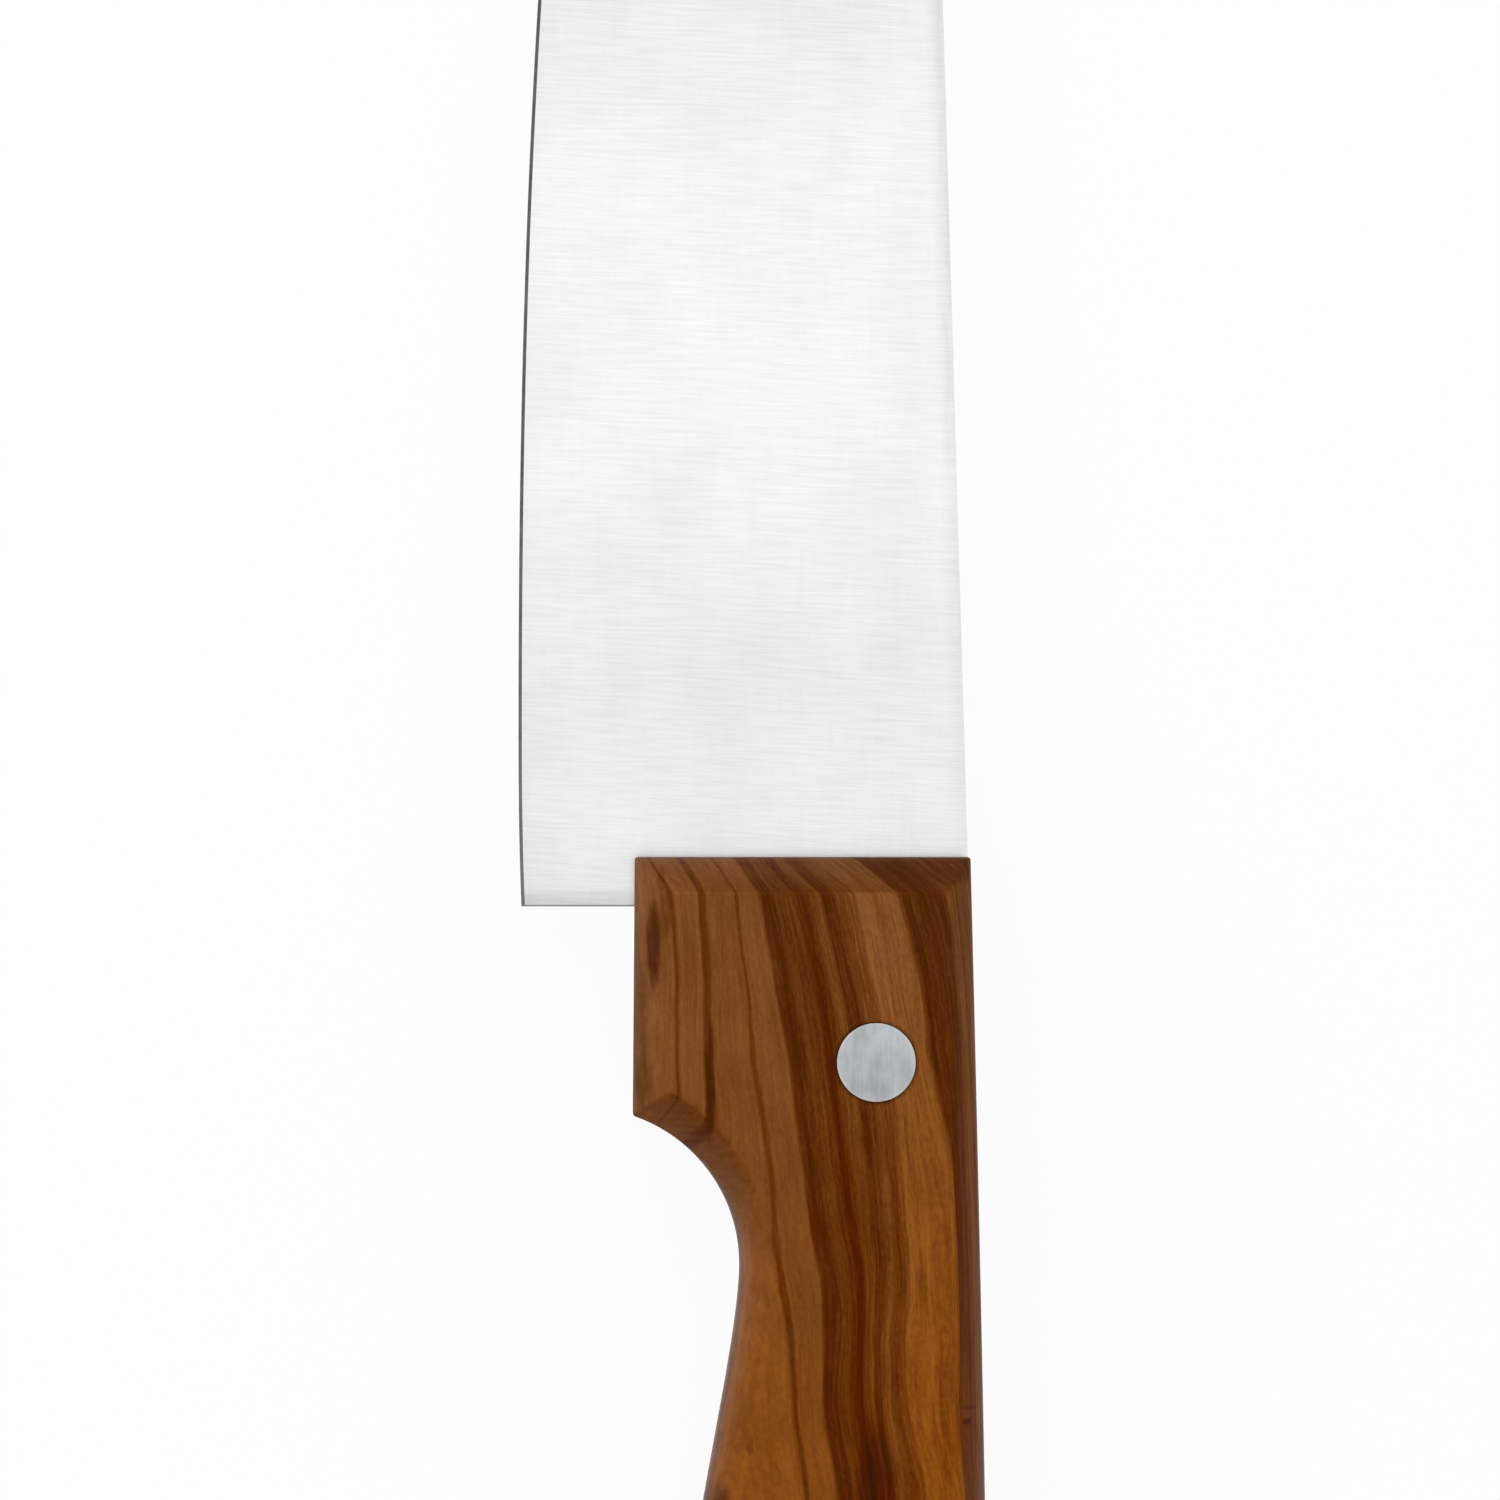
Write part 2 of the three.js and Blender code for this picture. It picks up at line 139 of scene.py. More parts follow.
class SantokuHandleSettings(bpy.types.PropertyGroup):
    """Sizes and colours of the wooden scales."""

    length: length("Length", 120, "Front face to butt")
    thickness: length("Scale thickness", 8.5, "One scale")
    back_at_front: length("Back at the front", 0.2, "How far the back stands above the spine line")
    back_at_butt: length("Back at the butt", 2.4, "The same, where the back rounds into the butt")
    back_bow: length("Back bow", 0.12, "Bulge of the back over a straight line")
    nose_length: length("Nose", 26, "Straight block ahead of the finger notch")
    nose_depth_front: length("Nose depth, front", 33.6, "Below the spine line")
    nose_depth_rear: length("Nose depth, rear", 33.8, "Below the spine line")
    notch_radius: length("Finger notch", 15.8, "Radius of the notch behind the nose")
    waist_depth: length("Waist", 23.1, "Narrowest place, below the spine line")
    waist_lead: length("Waist lead", 10, "How far the grip runs straight at the waist")
    swell_lead: length("Swell lead", 22, "How far the grip runs straight at the swell")
    swell_depth: length("Swell", 30.2, "Widest place near the butt, below the spine line")
    swell_from_butt: length("Swell from butt", 23, "Where the widest place is")
    crest_depth: length("Butt crest", 13.5, "Rearmost point, below the spine line")
    back_corner: length("Back corner", 16, "Where the back starts to round, from the butt")
    butt_fullness: share("Butt fullness", 0.6, "0.55 gives elliptic corners, more squarer ones")
    nose_rim_width: length("Nose rim width", 3.7, "Chamfer of the front, seen from above")
    nose_rim_depth: length("Nose rim depth", 2.3, "Chamfer of the front, down the side")
    nose_rim_roundness: share("Nose rim roundness", 0.1, "0 is a flat chamfer, 1 a quarter round")
    notch_rim_width: length("Notch rim width", 4.0, "Chamfer of the nose side and the notch")
    notch_rim_depth: length("Notch rim depth", 2.3, "The same, down the side")
    notch_rim_roundness: share("Notch rim roundness", 0.1, "0 is a flat chamfer")
    grip_rim_width: length("Grip rim width", 4.6, "Rounding of the grip, seen from above")
    grip_rim_depth: length("Grip rim depth", 5.2, "The same, down the side")
    grip_rim_roundness: share("Grip rim roundness", 1.0, "1 is a quarter round")
    back_rim_width: length("Back rim width", 2.8, "Chamfer of the back, seen from above")
    back_rim_depth: length("Back rim depth", 2.3, "The same, down the side")
    back_rim_roundness: share("Back rim roundness", 0.4, "Between chamfer and quarter round")
    corner_radius: length("Corner radius", 0.3, "Softened corners of the nose and the notch")
    rim_softness: share("Rim softness", 0.05, "Softened borders of the rims, as a share of them")
    pale_wood: colour("Pale wood", (0.335, 0.128, 0.036), "Palest fibres")
    light_wood: colour("Light wood", (0.268, 0.096, 0.0245), "Palest layers")
    warm_wood: colour("Warm wood", (0.214, 0.072, 0.020), "Most of the light layers")
    brown_wood: colour("Brown wood", (0.147, 0.045, 0.0072), "Middle layers")
    dark_wood: colour("Dark wood", (0.113, 0.030, 0.0035), "Dark layers")
    heart_wood: colour("Heart wood", (0.080, 0.015, 0.0012), "Darkest, reddish lines")
    knot_wood: colour("Knots", (0.030, 0.005, 0.0006), "Knots and darkest fibres")


class SantokuRivetSettings(bpy.types.PropertyGroup):
    """Sizes and colour of the two-part rivets."""

    head_diameter: length("Head diameter", 8, "Both halves")
    head_thickness: length("Head thickness", 2.5, "Both halves")
    tube_diameter: length("Tube diameter", 5, "Outside of the socket half's tube")
    pin_diameter: length("Pin diameter", 3.2, "Pin half")
    clearance: length("Clearance", 0.03, "Around heads, tubes and pins")
    sink: length("Sink", 0.05, "How far the heads lie under the wood")
    ease: length("Broken edges", 0.05, "On heads and pin ends")
    end_gap: length("End gap", 1.5, "Tube or pin end to the head that it faces")
    front_from_front: length("Front rivet", 20.6, "Behind the handle's front")
    front_depth: length("Front rivet depth", 9.3, "Below the spine line")
    rear_from_butt: length("Rear rivet", 24, "Ahead of the butt")
    rear_depth: length("Rear rivet depth", 13, "Below the spine line")
    aluminium: colour("Aluminium", (0.463, 0.489, 0.507), "Sanded heads")


class SantokuStageSettings(bpy.types.PropertyGroup):
    """Camera, light and floor."""

    picture_width: length("Picture width", 151.5, "What the square picture spans")
    picture_below: length("Picture below", 22.0, "Picture middle, below the spine line")
    picture_ahead: length("Picture ahead", 10.8, "Picture middle, ahead of the handle's front")
    picture_level: length("Picture level", 1.0, "Where that span is taken, above the steel's middle")
    lens: FloatProperty(name="Lens", description="Focal length in mm", default=400.0, min=1.0)
    floor_size: length("Floor size", 6000, "Side of the pale floor")
    floor_paint: colour("Floor paint", (0.93, 0.93, 0.93), "Pale paint of the floor")
    floor_glow: share("Floor glow", 0.95, "How much of the floor shows as plain white")
    ambient: FloatProperty(name="Ambient", description="Light from all round", default=0.72)
    key_power: FloatProperty(
        name="Key light", description="Large soft light from the left", default=5.0, unit="POWER"
    )
    key_size: length("Key size", 1400, "Side of the key light")


# Formulas in node trees
def plug(tree, socket, value):
    """Sets a socket to a number, or links it to a term or to another socket."""
    source = value.source if isinstance(value, Term) else value
    if isinstance(source, bpy.types.NodeSocket):
        tree.links.new(source, socket)
    else:
        socket.default_value = source


class Term:
    """A number in a node tree. Arithmetic on terms adds the Math nodes that work it out."""

    def __init__(self, tree, source):
        self.tree = tree
        self.source = source

    def then(self, operation, *others, clamp=False):
        """What one Math node makes of this term and others."""
        node = self.tree.nodes.new("ShaderNodeMath")
        node.operation = operation
        node.use_clamp = clamp
        for socket, value in zip(node.inputs, (self, *others)):
            plug(self.tree, socket, value)
        return Term(self.tree, node.outputs[0])

    def __add__(self, other):
        return self.then("ADD", other)

    def __sub__(self, other):
        return self.then("SUBTRACT", other)

    def __mul__(self, other):
        return self.then("MULTIPLY", other)

    def __truediv__(self, other):
        return self.then("DIVIDE", other)

    def __pow__(self, other):
        return self.then("POWER", other)

    def __rsub__(self, other):
        return Term(self.tree, other).then("SUBTRACT", self)

    __radd__ = __add__
    __rmul__ = __mul__

    def clamped(self):
        return self.then("ADD", 0.0, clamp=True)

    def at_least(self, other):
        return self.then("MAXIMUM", other)

    def at_most(self, other):
        return self.then("MINIMUM", other)

    def smooth(self):
        """Eases in and out between 0 and 1."""
        place = self.clamped()
        return place * place * (3.0 - place * 2.0)

    def near(self, reach):
        """1 where this term is 0, easing to 0 at this reach to either side."""
        return 1.0 - (self.then("ABSOLUTE") / reach).smooth()

    def towards(self, other, amount):
        """This term at 0, the other at 1."""
        return self + (other - self) * amount


def split(tree, vector):
    """The three numbers of a vector, as terms."""
    node = tree.nodes.new("ShaderNodeSeparateXYZ")
    plug(tree, node.inputs[0], vector)
    return [Term(tree, output) for output in node.outputs]


def join(tree, x, y, z):
    """A vector made of three terms or numbers."""
    node = tree.nodes.new("ShaderNodeCombineXYZ")
    for socket, value in zip(node.inputs, (x, y, z)):
        plug(tree, socket, value)
    return node.outputs[0]


# Geometry trees
def new_tree(name, **inputs):
    """A geometry tree with these named inputs; returns it and the inputs as terms."""
    tree = bpy.data.node_groups.new(name, "GeometryNodeTree")
    for label, kind in inputs.items():
        tree.interface.new_socket(label, in_out="INPUT", socket_type=f"NodeSocket{kind}")
    tree.interface.new_socket("geometry", in_out="OUTPUT", socket_type="NodeSocketGeometry")
    sources = tree.nodes.new("NodeGroupInput").outputs
    return tree, {label: Term(tree, sources[label]) for label in inputs}


def add(tree, kind, **inputs):
    """Adds a geometry node, plugs its inputs by name and returns its first output."""
    node = tree.nodes.new(f"GeometryNode{kind}")
    for label, value in inputs.items():
        plug(tree, node.inputs[label.replace("_", " ")], value)
    return node.outputs[0]


def close_tree(tree, geometry, material, *more):
    """Ends a tree: realizes the geometry and sets its material, then any on a selection."""
    result = add(tree, "RealizeInstances", Geometry=geometry)
    result = add(tree, "SetMaterial", Geometry=result, Material=material)
    for selection, other in more:
        result = add(tree, "SetMaterial", Geometry=result, Selection=selection, Material=other)
    plug(tree, tree.nodes.new("NodeGroupOutput").inputs[0], result)


def shaped_grid(tree, rows, columns, shape):
    """A grid with its points put in place by shape(row, column), welded where they meet."""
    grid = add(tree, "MeshGrid", Size_X=1.0, Size_Y=1.0, Vertices_X=rows + 1, Vertices_Y=columns + 1)
    across, along, _ = split(tree, add(tree, "InputPosition"))
    place = shape((across + 0.5) * rows, (along + 0.5) * columns)
    moved = add(tree, "SetPosition", Geometry=grid, Position=place)
    return add(tree, "MergeByDistance", Geometry=moved, Distance=WELD_DISTANCE)


def through(place, values):
    """Goes straight from each value to the next as place counts up from 0."""
    result = values[0]
    for index, (here, there) in enumerate(zip(values, values[1:])):
        result = result + (there - here) * (place - float(index)).clamped()
    return result


# Meshes
def new_piece(name, mesh):
    """An object in the scene with this mesh."""
    piece = bpy.data.objects.new(name, mesh)
    bpy.context.scene.collection.objects.link(piece)
    return piece


def settle(piece):
    """Replaces a piece's mesh by what its modifiers make of it, and removes them."""
    evaluated = piece.evaluated_get(bpy.context.evaluated_depsgraph_get())
    mesh = bpy.data.meshes.new_from_object(evaluated)
    piece.modifiers.clear()
    piece.data = mesh


def grow(name, tree, **inputs):
    """A piece made by a geometry tree, as a plain mesh."""
    piece = new_piece(name, bpy.data.meshes.new(name))
    modifier = piece.modifiers.new(name, "NODES")
    modifier.node_group = tree
    for label, value in inputs.items():
        modifier[tree.interface.items_tree[label].identifier] = value
    settle(piece)
    tidy_faces(piece)
    return piece


def carve(piece, operation, tool):
    """Joins a tool to a piece or cuts it out, and throws the tool away."""
    modifier = piece.modifiers.new("carve", "BOOLEAN")
    modifier.operation = operation
    modifier.solver = "MANIFOLD"
    modifier.object = tool
    settle(piece)
    bpy.data.objects.remove(tool)
    tidy_faces(piece)


def tidy_faces(piece):
    """Merges doubles, turns the faces outwards and shades them smooth between sharp edges."""
    shell = bmesh.new()
    shell.from_mesh(piece.data)
    bmesh.ops.remove_doubles(shell, verts=shell.verts, dist=WELD_DISTANCE)
    bmesh.ops.recalc_face_normals(shell, faces=shell.faces)
    shell.to_mesh(piece.data)
    shell.free()
    piece.data.shade_smooth()
    piece.data.set_sharp_from_angle(angle=SHARP_ANGLE)


def stand_for(piece, slot, *nodes):
    """Puts a finished piece in the place of these nodes of the frame."""
    if not piece.data.polygons:
        raise RuntimeError(f"{piece.name} has no faces")
    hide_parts(*nodes)
    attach(piece, "root")


def loft(name, rings):
    """Skins closed rings of equal length and caps both ends."""
    size = len(rings[0])
    points = [point for ring in rings for point in ring]
    faces = []
    for ring in range(len(rings) - 1):
        for i in range(size):
            here = ring * size + i
            beside = ring * size + (i + 1) % size
            faces.append((here, beside, beside + size, here + size))
    faces.append(tuple(reversed(range(size))))
    faces.append(tuple(range(len(points) - size, len(points))))
    mesh = bpy.data.meshes.new(name)
    mesh.from_pydata(points, [], faces)
    piece = new_piece(name, mesh)
    tidy_faces(piece)
    return piece


# Datum and places
def datum():
    """Where the spine line meets the handle's front face, in the middle of the steel."""
    blade_low, blade_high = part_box("blade_and_tang")
    _, scale_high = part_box("upper_scale")
    height = bpy.context.scene.santoku_blade.height
    return Vector((blade_low.x + height, scale_high.y, (blade_low.z + blade_high.z) / 2))


def tang_face():
    """Height of the tang's face over the middle of the steel."""
    return bpy.context.scene.santoku_blade.thickness / 2


def scale_face():
    """Height of a scale's flat face over the middle of the steel."""
    return tang_face() + bpy.context.scene.santoku_handle.thickness


def rivet_places():
    """The front and rear rivet axes, at the middle of the steel."""
    handle = bpy.context.scene.santoku_handle
    rivet = bpy.context.scene.santoku_rivets
    front = Vector((-rivet.front_depth, -rivet.front_from_front, 0))
    rear = Vector((-rivet.rear_depth, rivet.rear_from_butt - handle.length, 0))
    return datum() + front, datum() + rear


# Handle outline
Rim = namedtuple("Rim", "width depth roundness")
# A curve of 0 to 1 with the rims at its start and end, and whether it starts at a sharp corner
Stretch = namedtuple("Stretch", "curve steps starts ends corner", defaults=(False,))


def bezier(*controls):
    """A curve from its first to its last control point, as a function of 0 to 1."""
    def at(place):
        points = controls
        while len(points) > 1:
            points = [a.lerp(b, place) for a, b in zip(points, points[1:])]
        return points[0]
    return at


def arc(centre, radius, start, end):
    """A round stretch between two angles, as a function of 0 to 1."""
    def at(place):
        angle = start + (end - start) * place
        return centre + Vector((math.cos(angle), math.sin(angle))) * radius
    return at


def rim_of(handle, part):
    """The eased rim of one part of the handle."""
    return Rim(*(getattr(handle, f"{part}_rim_{size}") for size in Rim._fields))


def handle_stretches(handle):
    """The handle's outline from the datum, anticlockwise from its front corner at the back."""
    nose, notch, grip, back = (rim_of(handle, part) for part in ("nose", "notch", "grip", "back"))
    front_back = Vector((handle.back_at_front, 0))
    front_nose = Vector((-handle.nose_depth_front, 0))
    notch_start = Vector((-handle.nose_depth_rear, -handle.nose_length))
    notch_x = -handle.waist_depth - handle.notch_radius
    notch_angle = math.acos((notch_start.x - notch_x) / handle.notch_radius)
    waist_y = notch_start.y - handle.notch_radius * math.sin(notch_angle)
    notch_arc = arc(Vector((notch_x, waist_y)), handle.notch_radius, notch_angle, 0)
    waist = Vector((-handle.waist_depth, waist_y))
    swell = Vector((-handle.swell_depth, handle.swell_from_butt - handle.length))
    crest = Vector((-handle.crest_depth, -handle.length))
    back_corner = Vector((handle.back_at_butt, handle.back_corner - handle.length))
    back_middle = (front_back + back_corner) / 2 + Vector((2 * handle.back_bow, 0))

    def butt_turn(side, end):
        """Control points that turn from a side of the handle into the end of the butt."""
        square = Vector((side.x, end.y))
        return side.lerp(square, handle.butt_fullness), end.lerp(square, handle.butt_fullness)

    swell_turn, crest_turn = butt_turn(swell, crest)
    back_turn, crest_back_turn = butt_turn(back_corner, crest)
    waist_on = waist - Vector((0, handle.waist_lead))
    swell_on = swell + Vector((0, handle.swell_lead))
    return (
        Stretch(bezier(front_back, front_nose), 1, nose, nose, corner=True),
        Stretch(bezier(front_nose, notch_start), 1, notch, notch, corner=True),
        Stretch(notch_arc, NOTCH_STEPS, notch, grip, corner=True),
        Stretch(bezier(waist, waist_on, swell_on, swell), GRIP_STEPS, grip, grip),
        Stretch(bezier(swell, swell_turn, crest_turn, crest), BUTT_STEPS, grip, grip),
        Stretch(bezier(crest, crest_back_turn, back_turn, back_corner), BUTT_STEPS, grip, grip),
        Stretch(bezier(back_corner, back_middle, front_back), BACK_STEPS, grip, back),
    )


def rim_at(stretch, place):
    """The rim at a place of a stretch, easing from the one that it starts with to its last."""
    place = min(max(place, 0.0), 1.0)
    eased = place * place * (3 - 2 * place)
    return Rim(*(a + (b - a) * eased for a, b in zip(stretch.starts, stretch.ends)))


def moved(stretch, place, move):
    """A point of a stretch, moved inwards and down by what move(rim) gives."""
    side = stretch.curve(place + HAIR) - stretch.curve(place - HAIR)
    inward, down = move(rim_at(stretch, place))
    point = stretch.curve(place) + Vector((-side.y, side.x)).normalized() * inward
    return Vector((point.x, point.y, -down))


def course(stretch, place, move):
    """Where a moved stretch is in plan, and how it runs on from there."""
    before, after = (moved(stretch, place + step, move).to_2d() for step in (-HAIR, HAIR))
    return (before + after) / 2, (after - before) / (2 * HAIR)


def crossing(arriving, leaving, move):
    """Places on two stretches, the end of one and the start of the next, where they now cross."""
    end = 1.0
    start = 0.0
    for _ in range(CROSSING_ROUNDS):
        here, along = course(arriving, end, move)
        there, onward = course(leaving, start, move)
        turn = along.cross(onward)
        end += (there - here).cross(onward) / turn
        start += (there - here).cross(along) / turn
    return end, start


def outline_ring(handle, move):
    """The handle's outline moved inwards and down by move(rim), with softened corners."""
    stretches = handle_stretches(handle)
    spans = [[0.0, 1.0] for _ in stretches]
    for i, stretch in enumerate(stretches):
        if stretch.corner:
            spans[i - 1][1], spans[i][0] = crossing(stretches[i - 1], stretch, move)
    ring = []
    corners = []
    for i, (stretch, (start, end)) in enumerate(zip(stretches, spans)):
        places = [start + (end - start) * step / stretch.steps for step in range(stretch.steps)]
        points = [moved(stretch, place, move) for place in places]
        if stretch.corner:
            corners.append(len(ring))
            arriving = moved(stretches[i - 1], spans[i - 1][1], move)
            points[0] = (arriving + points[0]) / 2
        ring.extend(points)
    return soften(ring, corners, handle.corner_radius)


def soften(ring, corners, radius):
    """Rounds some corners of a ring of points."""
    softened = []
    for i, point in enumerate(ring):
        if i not in corners:
            softened.append(point)
            continue
        before = point + (ring[i - 1] - point).normalized() * radius
        after = point + (ring[(i + 1) % len(ring)] - point).normalized() * radius
        curve = bezier(before, point, after)
        softened.extend(curve(step / CORNER_STEPS) for step in range(CORNER_STEPS + 1))
    return softened


def rim_place(step, roundness, softness):
    """A step of a rim, from its wall to the flat face, in shares of its width and depth."""
    low = bezier(Vector((0, -softness)), Vector((0, 0)), Vector((softness, softness)))
    high = bezier(Vector((1 - softness, 1 - softness)), Vector((1, 1)), Vector((1 + softness, 1)))
    parts = (low, bezier(low(1), high(0)), high)
    part = min(step * len(parts) // RIM_STEPS, len(parts) - 1)
    chamfer = parts[part](step * len(parts) / RIM_STEPS - part)
    angle = math.pi / 2 * step / RIM_STEPS
    return chamfer.lerp(Vector((1 - math.cos(angle), math.sin(angle))), roundness)


# Blade
BLADE_INPUTS = (
    "edge_length", "height", "thickness", "tip_thickness", "spine_drop", "sheepsfoot_length",
    "heel_setback", "heel_relief", "lowest_from_heel", "tip_lift", "tip_height", "belly_power",
    "bevel_height", "edge_thickness", "ease", "heel_grind", "grind_sweep", "grind_softness",
)
MOST_BEVEL = 0.5  # the bevel takes up to this share of the blade's height,
MOST_EASE = 0.25  # and a broken corner up to this share of its thickness

BladeLines = namedtuple("BladeLines", "heel tip edge straight spine")


def blade_lines(b):
    """The blade in plan: its heel and tip, and its lines as functions of the place along it."""
    heel = 0.0 - b["heel_setback"]
    tip = heel + b["edge_length"]
    lowest = heel + b["lowest_from_heel"]
    slope = b["spine_drop"].then("TANGENT")

    def edge(y):
        to_tip = ((y - lowest).at_least(0.0) / (tip - lowest)) ** b["belly_power"]
        to_heel = ((lowest - y).at_least(0.0) / (lowest - heel)) ** b["belly_power"]
        return to_tip * b["tip_lift"] + to_heel * b["heel_relief"] - b["height"]

    def straight(y):
        return 0.0 - slope * y

    def spine(y):
        """The straight spine line, then one arc that leaves it smoothly and ends at the tip."""
        run = b["sheepsfoot_length"]
        start_y = tip - run
        start_x = straight(start_y)
        fall = start_x - (edge(tip) + b["tip_height"])
        stretch = (slope * slope + 1.0).then("SQRT")
        inward = (fall - slope * run) / stretch
        radius = (fall * fall + run * run) / (inward * 2.0)
        centre_x = start_x - radius / stretch
        centre_y = start_y - radius * slope / stretch
        off = y.at_least(start_y) - centre_y
        arc_x = centre_x + (radius * radius - off * off).at_least(0.0).then("SQRT")
        return straight(y).towards(arc_x, y.then("GREATER_THAN", start_y))

    return BladeLines(heel, tip, edge, straight, spine)


def blade_rule():
    """The blade as a rule: each grid row is a section, from the edge over the spine and back."""
    sockets = {label: "Float" for label in BLADE_INPUTS}
    tree, b = new_tree("blade_rule", **sockets, datum="Vector", satin="Material", bevel="Material")
    datum_x, datum_y, datum_z = split(tree, b["datum"])
    lines = blade_lines(b)
    half_turn = sum(SECTION_STEPS.values())
    rows = BLADE_STATIONS + 2

    def thickness_at(y, height):
        full = b["thickness"].towards(b["tip_thickness"], (y / lines.tip).clamped())
        sweep = (y / b["grind_sweep"]).smooth()
        grind = b["heel_grind"].towards(lines.straight(y) - lines.edge(y), sweep)
        taper = (height / grind).then("SMOOTH_MIN", 1.0, b["grind_softness"])
        return b["edge_thickness"].towards(full, taper)

    def shape(row, column):
        step = (row - 1.0).at_least(0.0).at_most(float(BLADE_STATIONS))
        eased = step.at_most(1.0)
        onward = (step - 1.0).at_least(0.0) / (BLADE_STATIONS - 1.0)
        y = lines.heel + b["ease"] * eased + (b["edge_length"] - b["ease"]) * onward
        around = half_turn - (column - half_turn).then("ABSOLUTE")
        place = {}
        start = 0.0
        for part, steps in SECTION_STEPS.items():
            place[part] = ((around - start) / steps).clamped()
            start += steps
        bottom = lines.edge(y)
        height = lines.spine(y) - bottom
        bevel = b["bevel_height"].at_most(height * MOST_BEVEL)
        ease = b["ease"].at_most(thickness_at(y, height) * MOST_EASE)
        rise = (height - ease - bevel) * place["face"]
        turn = place["ease"] * (math.pi / 2)
        x = bottom + bevel * place["bevel"] + rise + ease * turn.then("SINE")
        half = thickness_at(y, bevel + rise) / 2.0 * place["bevel"]
        half = half - ease * (1.0 - turn.then("COSINE")) - b["ease"] * (1.0 - eased)
        half = half.at_least(0.0) * (1.0 - place["spine"])
        inside = row.then("GREATER_THAN", 0.5) * row.then("LESS_THAN", rows - 0.5)
        side = (half_turn - column).then("SIGN")
        return join(tree, datum_x + x, datum_y + y, datum_z + half * side * inside)

    skin = shaped_grid(tree, rows, 2 * half_turn, shape)
    x, y, _ = split(tree, add(tree, "InputPosition"))
    sharpened = (x - datum_x - lines.edge(y - datum_y)).then("LESS_THAN", b["bevel_height"])
    close_tree(tree, skin, b["satin"], (sharpened, b["bevel"]))
    return tree


def tang_piece(scene):
    """The full tang between the scales."""
    inset = scene.santoku_blade.tang_inset
    ring = outline_ring(scene.santoku_handle, lambda rim: (inset, 0))
    half = Vector((0, 0, tang_face()))
    faces = (datum() - half, datum() + half)
    return loft("tang", [[face + point for point in ring] for face in faces])


class SANTOKU_OT_blade(bpy.types.Operator):
    """Build the ground blade in one with its tang"""

    bl_idname = "santoku.blade"
    bl_label = "Blade"

    def execute(self, context):
        blade = context.scene.santoku_blade
        sizes = {label: getattr(blade, label) for label in BLADE_INPUTS}
        finishes = {"satin": satin_steel(blade), "bevel": sharpened_steel(blade)}
        piece = grow("satin_blade", blade_rule(), **sizes, **finishes, datum=datum())
        carve(piece, "UNION", tang_piece(context.scene))
        carve(piece, "DIFFERENCE", rivet_holes())
        stand_for(piece, "blade_steel", "blade_and_tang")
        return {"FINISHED"}


# Rivets
RIVET_INPUTS = ("bore", "floor", "end", "shank", "end_ease", "seat", "head", "head_ease", "top")


def rivet_rule():
    """A turned rivet half, head up, at the front and the rear place; side -1 turns it over."""
    sockets = {label: "Float" for label in (*RIVET_INPUTS, "side")}
    places = {"start": "Vector", "offset": "Vector"}
    tree, r = new_tree("rivet_rule", **sockets, **places, metal="Material")
    radii = (
        0.0, r["bore"], r["bore"], r["shank"] - r["end_ease"], r["shank"], r["shank"],
        r["head"], r["head"], r["head"] - r["head_ease"], 0.0,
    )
    heights = (
        r["floor"], r["floor"], r["end"], r["end"], r["end"] + r["end_ease"], r["seat"],
        r["seat"], r["top"] - r["head_ease"], r["top"], r["top"],
    )

    def shape(row, column):
        radius = through(row, radii)
        angle = column * (2 * math.pi / RIVET_SEGMENTS)
        x = radius * angle.then("COSINE")
        y = radius * angle.then("SINE")
        return join(tree, x, y, through(row, heights) * r["side"])

    half = shaped_grid(tree, len(radii) - 1, RIVET_SEGMENTS, shape)
    line = add(tree, "MeshLine", Count=2, Start_Location=r["start"], Offset=r["offset"])
    pair = add(tree, "InstanceOnPoints", Points=line, Instance=half)
    close_tree(tree, pair, r["metal"])
    return tree


def rivet_pair(name, metal, side, **sizes):
    """Two like rivet halves, or the holes that they sit in."""
    front, rear = rivet_places()
    blank = dict.fromkeys(RIVET_INPUTS, 0.0)
    sizes = {**blank, **sizes}
    return grow(name, rivet_rule(), **sizes, side=side, start=front, offset=rear - front, metal=metal)


def head_levels():
    """Heights of the rivet heads' tops and seats over the middle of the steel."""
    rivet = bpy.context.scene.santoku_rivets
    top = scale_face() - rivet.sink
    return {"top": top, "seat": top - rivet.head_thickness}


def rivet_holes():
    """What is cut from the upper scale and the tang: a seat for each head and a bore for its tube."""
    rivet = bpy.context.scene.santoku_rivets
    bottom = -2 * tang_face()
    return rivet_pair(
        "rivet_holes", None, 1.0,
        floor=bottom, end=bottom,
        shank=rivet.tube_diameter / 2 + rivet.clearance,
        head=rivet.head_diameter / 2 + rivet.clearance,
        seat=head_levels()["seat"],
        top=scale_face() + rivet.head_thickness,
    )


class SANTOKU_OT_rivets(bpy.types.Operator):
    """Build the pin halves and the socket halves of the two rivets"""

    bl_idname = "santoku.rivets"
    bl_label = "Rivets"

    def execute(self, context):
        rivet = context.scene.santoku_rivets
        metal = sanded_aluminium(rivet)
        head = {"head": rivet.head_diameter / 2, "head_ease": rivet.ease, **head_levels()}
        end = rivet.end_gap - head["seat"]
        pins = rivet_pair(
            "rivet_pins", metal, 1.0, **head,
            floor=end, end=end, shank=rivet.pin_diameter / 2, end_ease=rivet.ease,
        )
        sockets = rivet_pair(
            "rivet_sockets", metal, -1.0, **head,
            floor=head["seat"], bore=rivet.pin_diameter / 2 + rivet.clearance,
            end=end, shank=rivet.tube_diameter / 2,
        )
        stand_for(pins, "rivet_aluminium", "front_rivet_pin", "rear_rivet_pin")
        stand_for(sockets, "rivet_aluminium", "front_rivet_socket", "rear_rivet_socket")
        return {"FINISHED"}


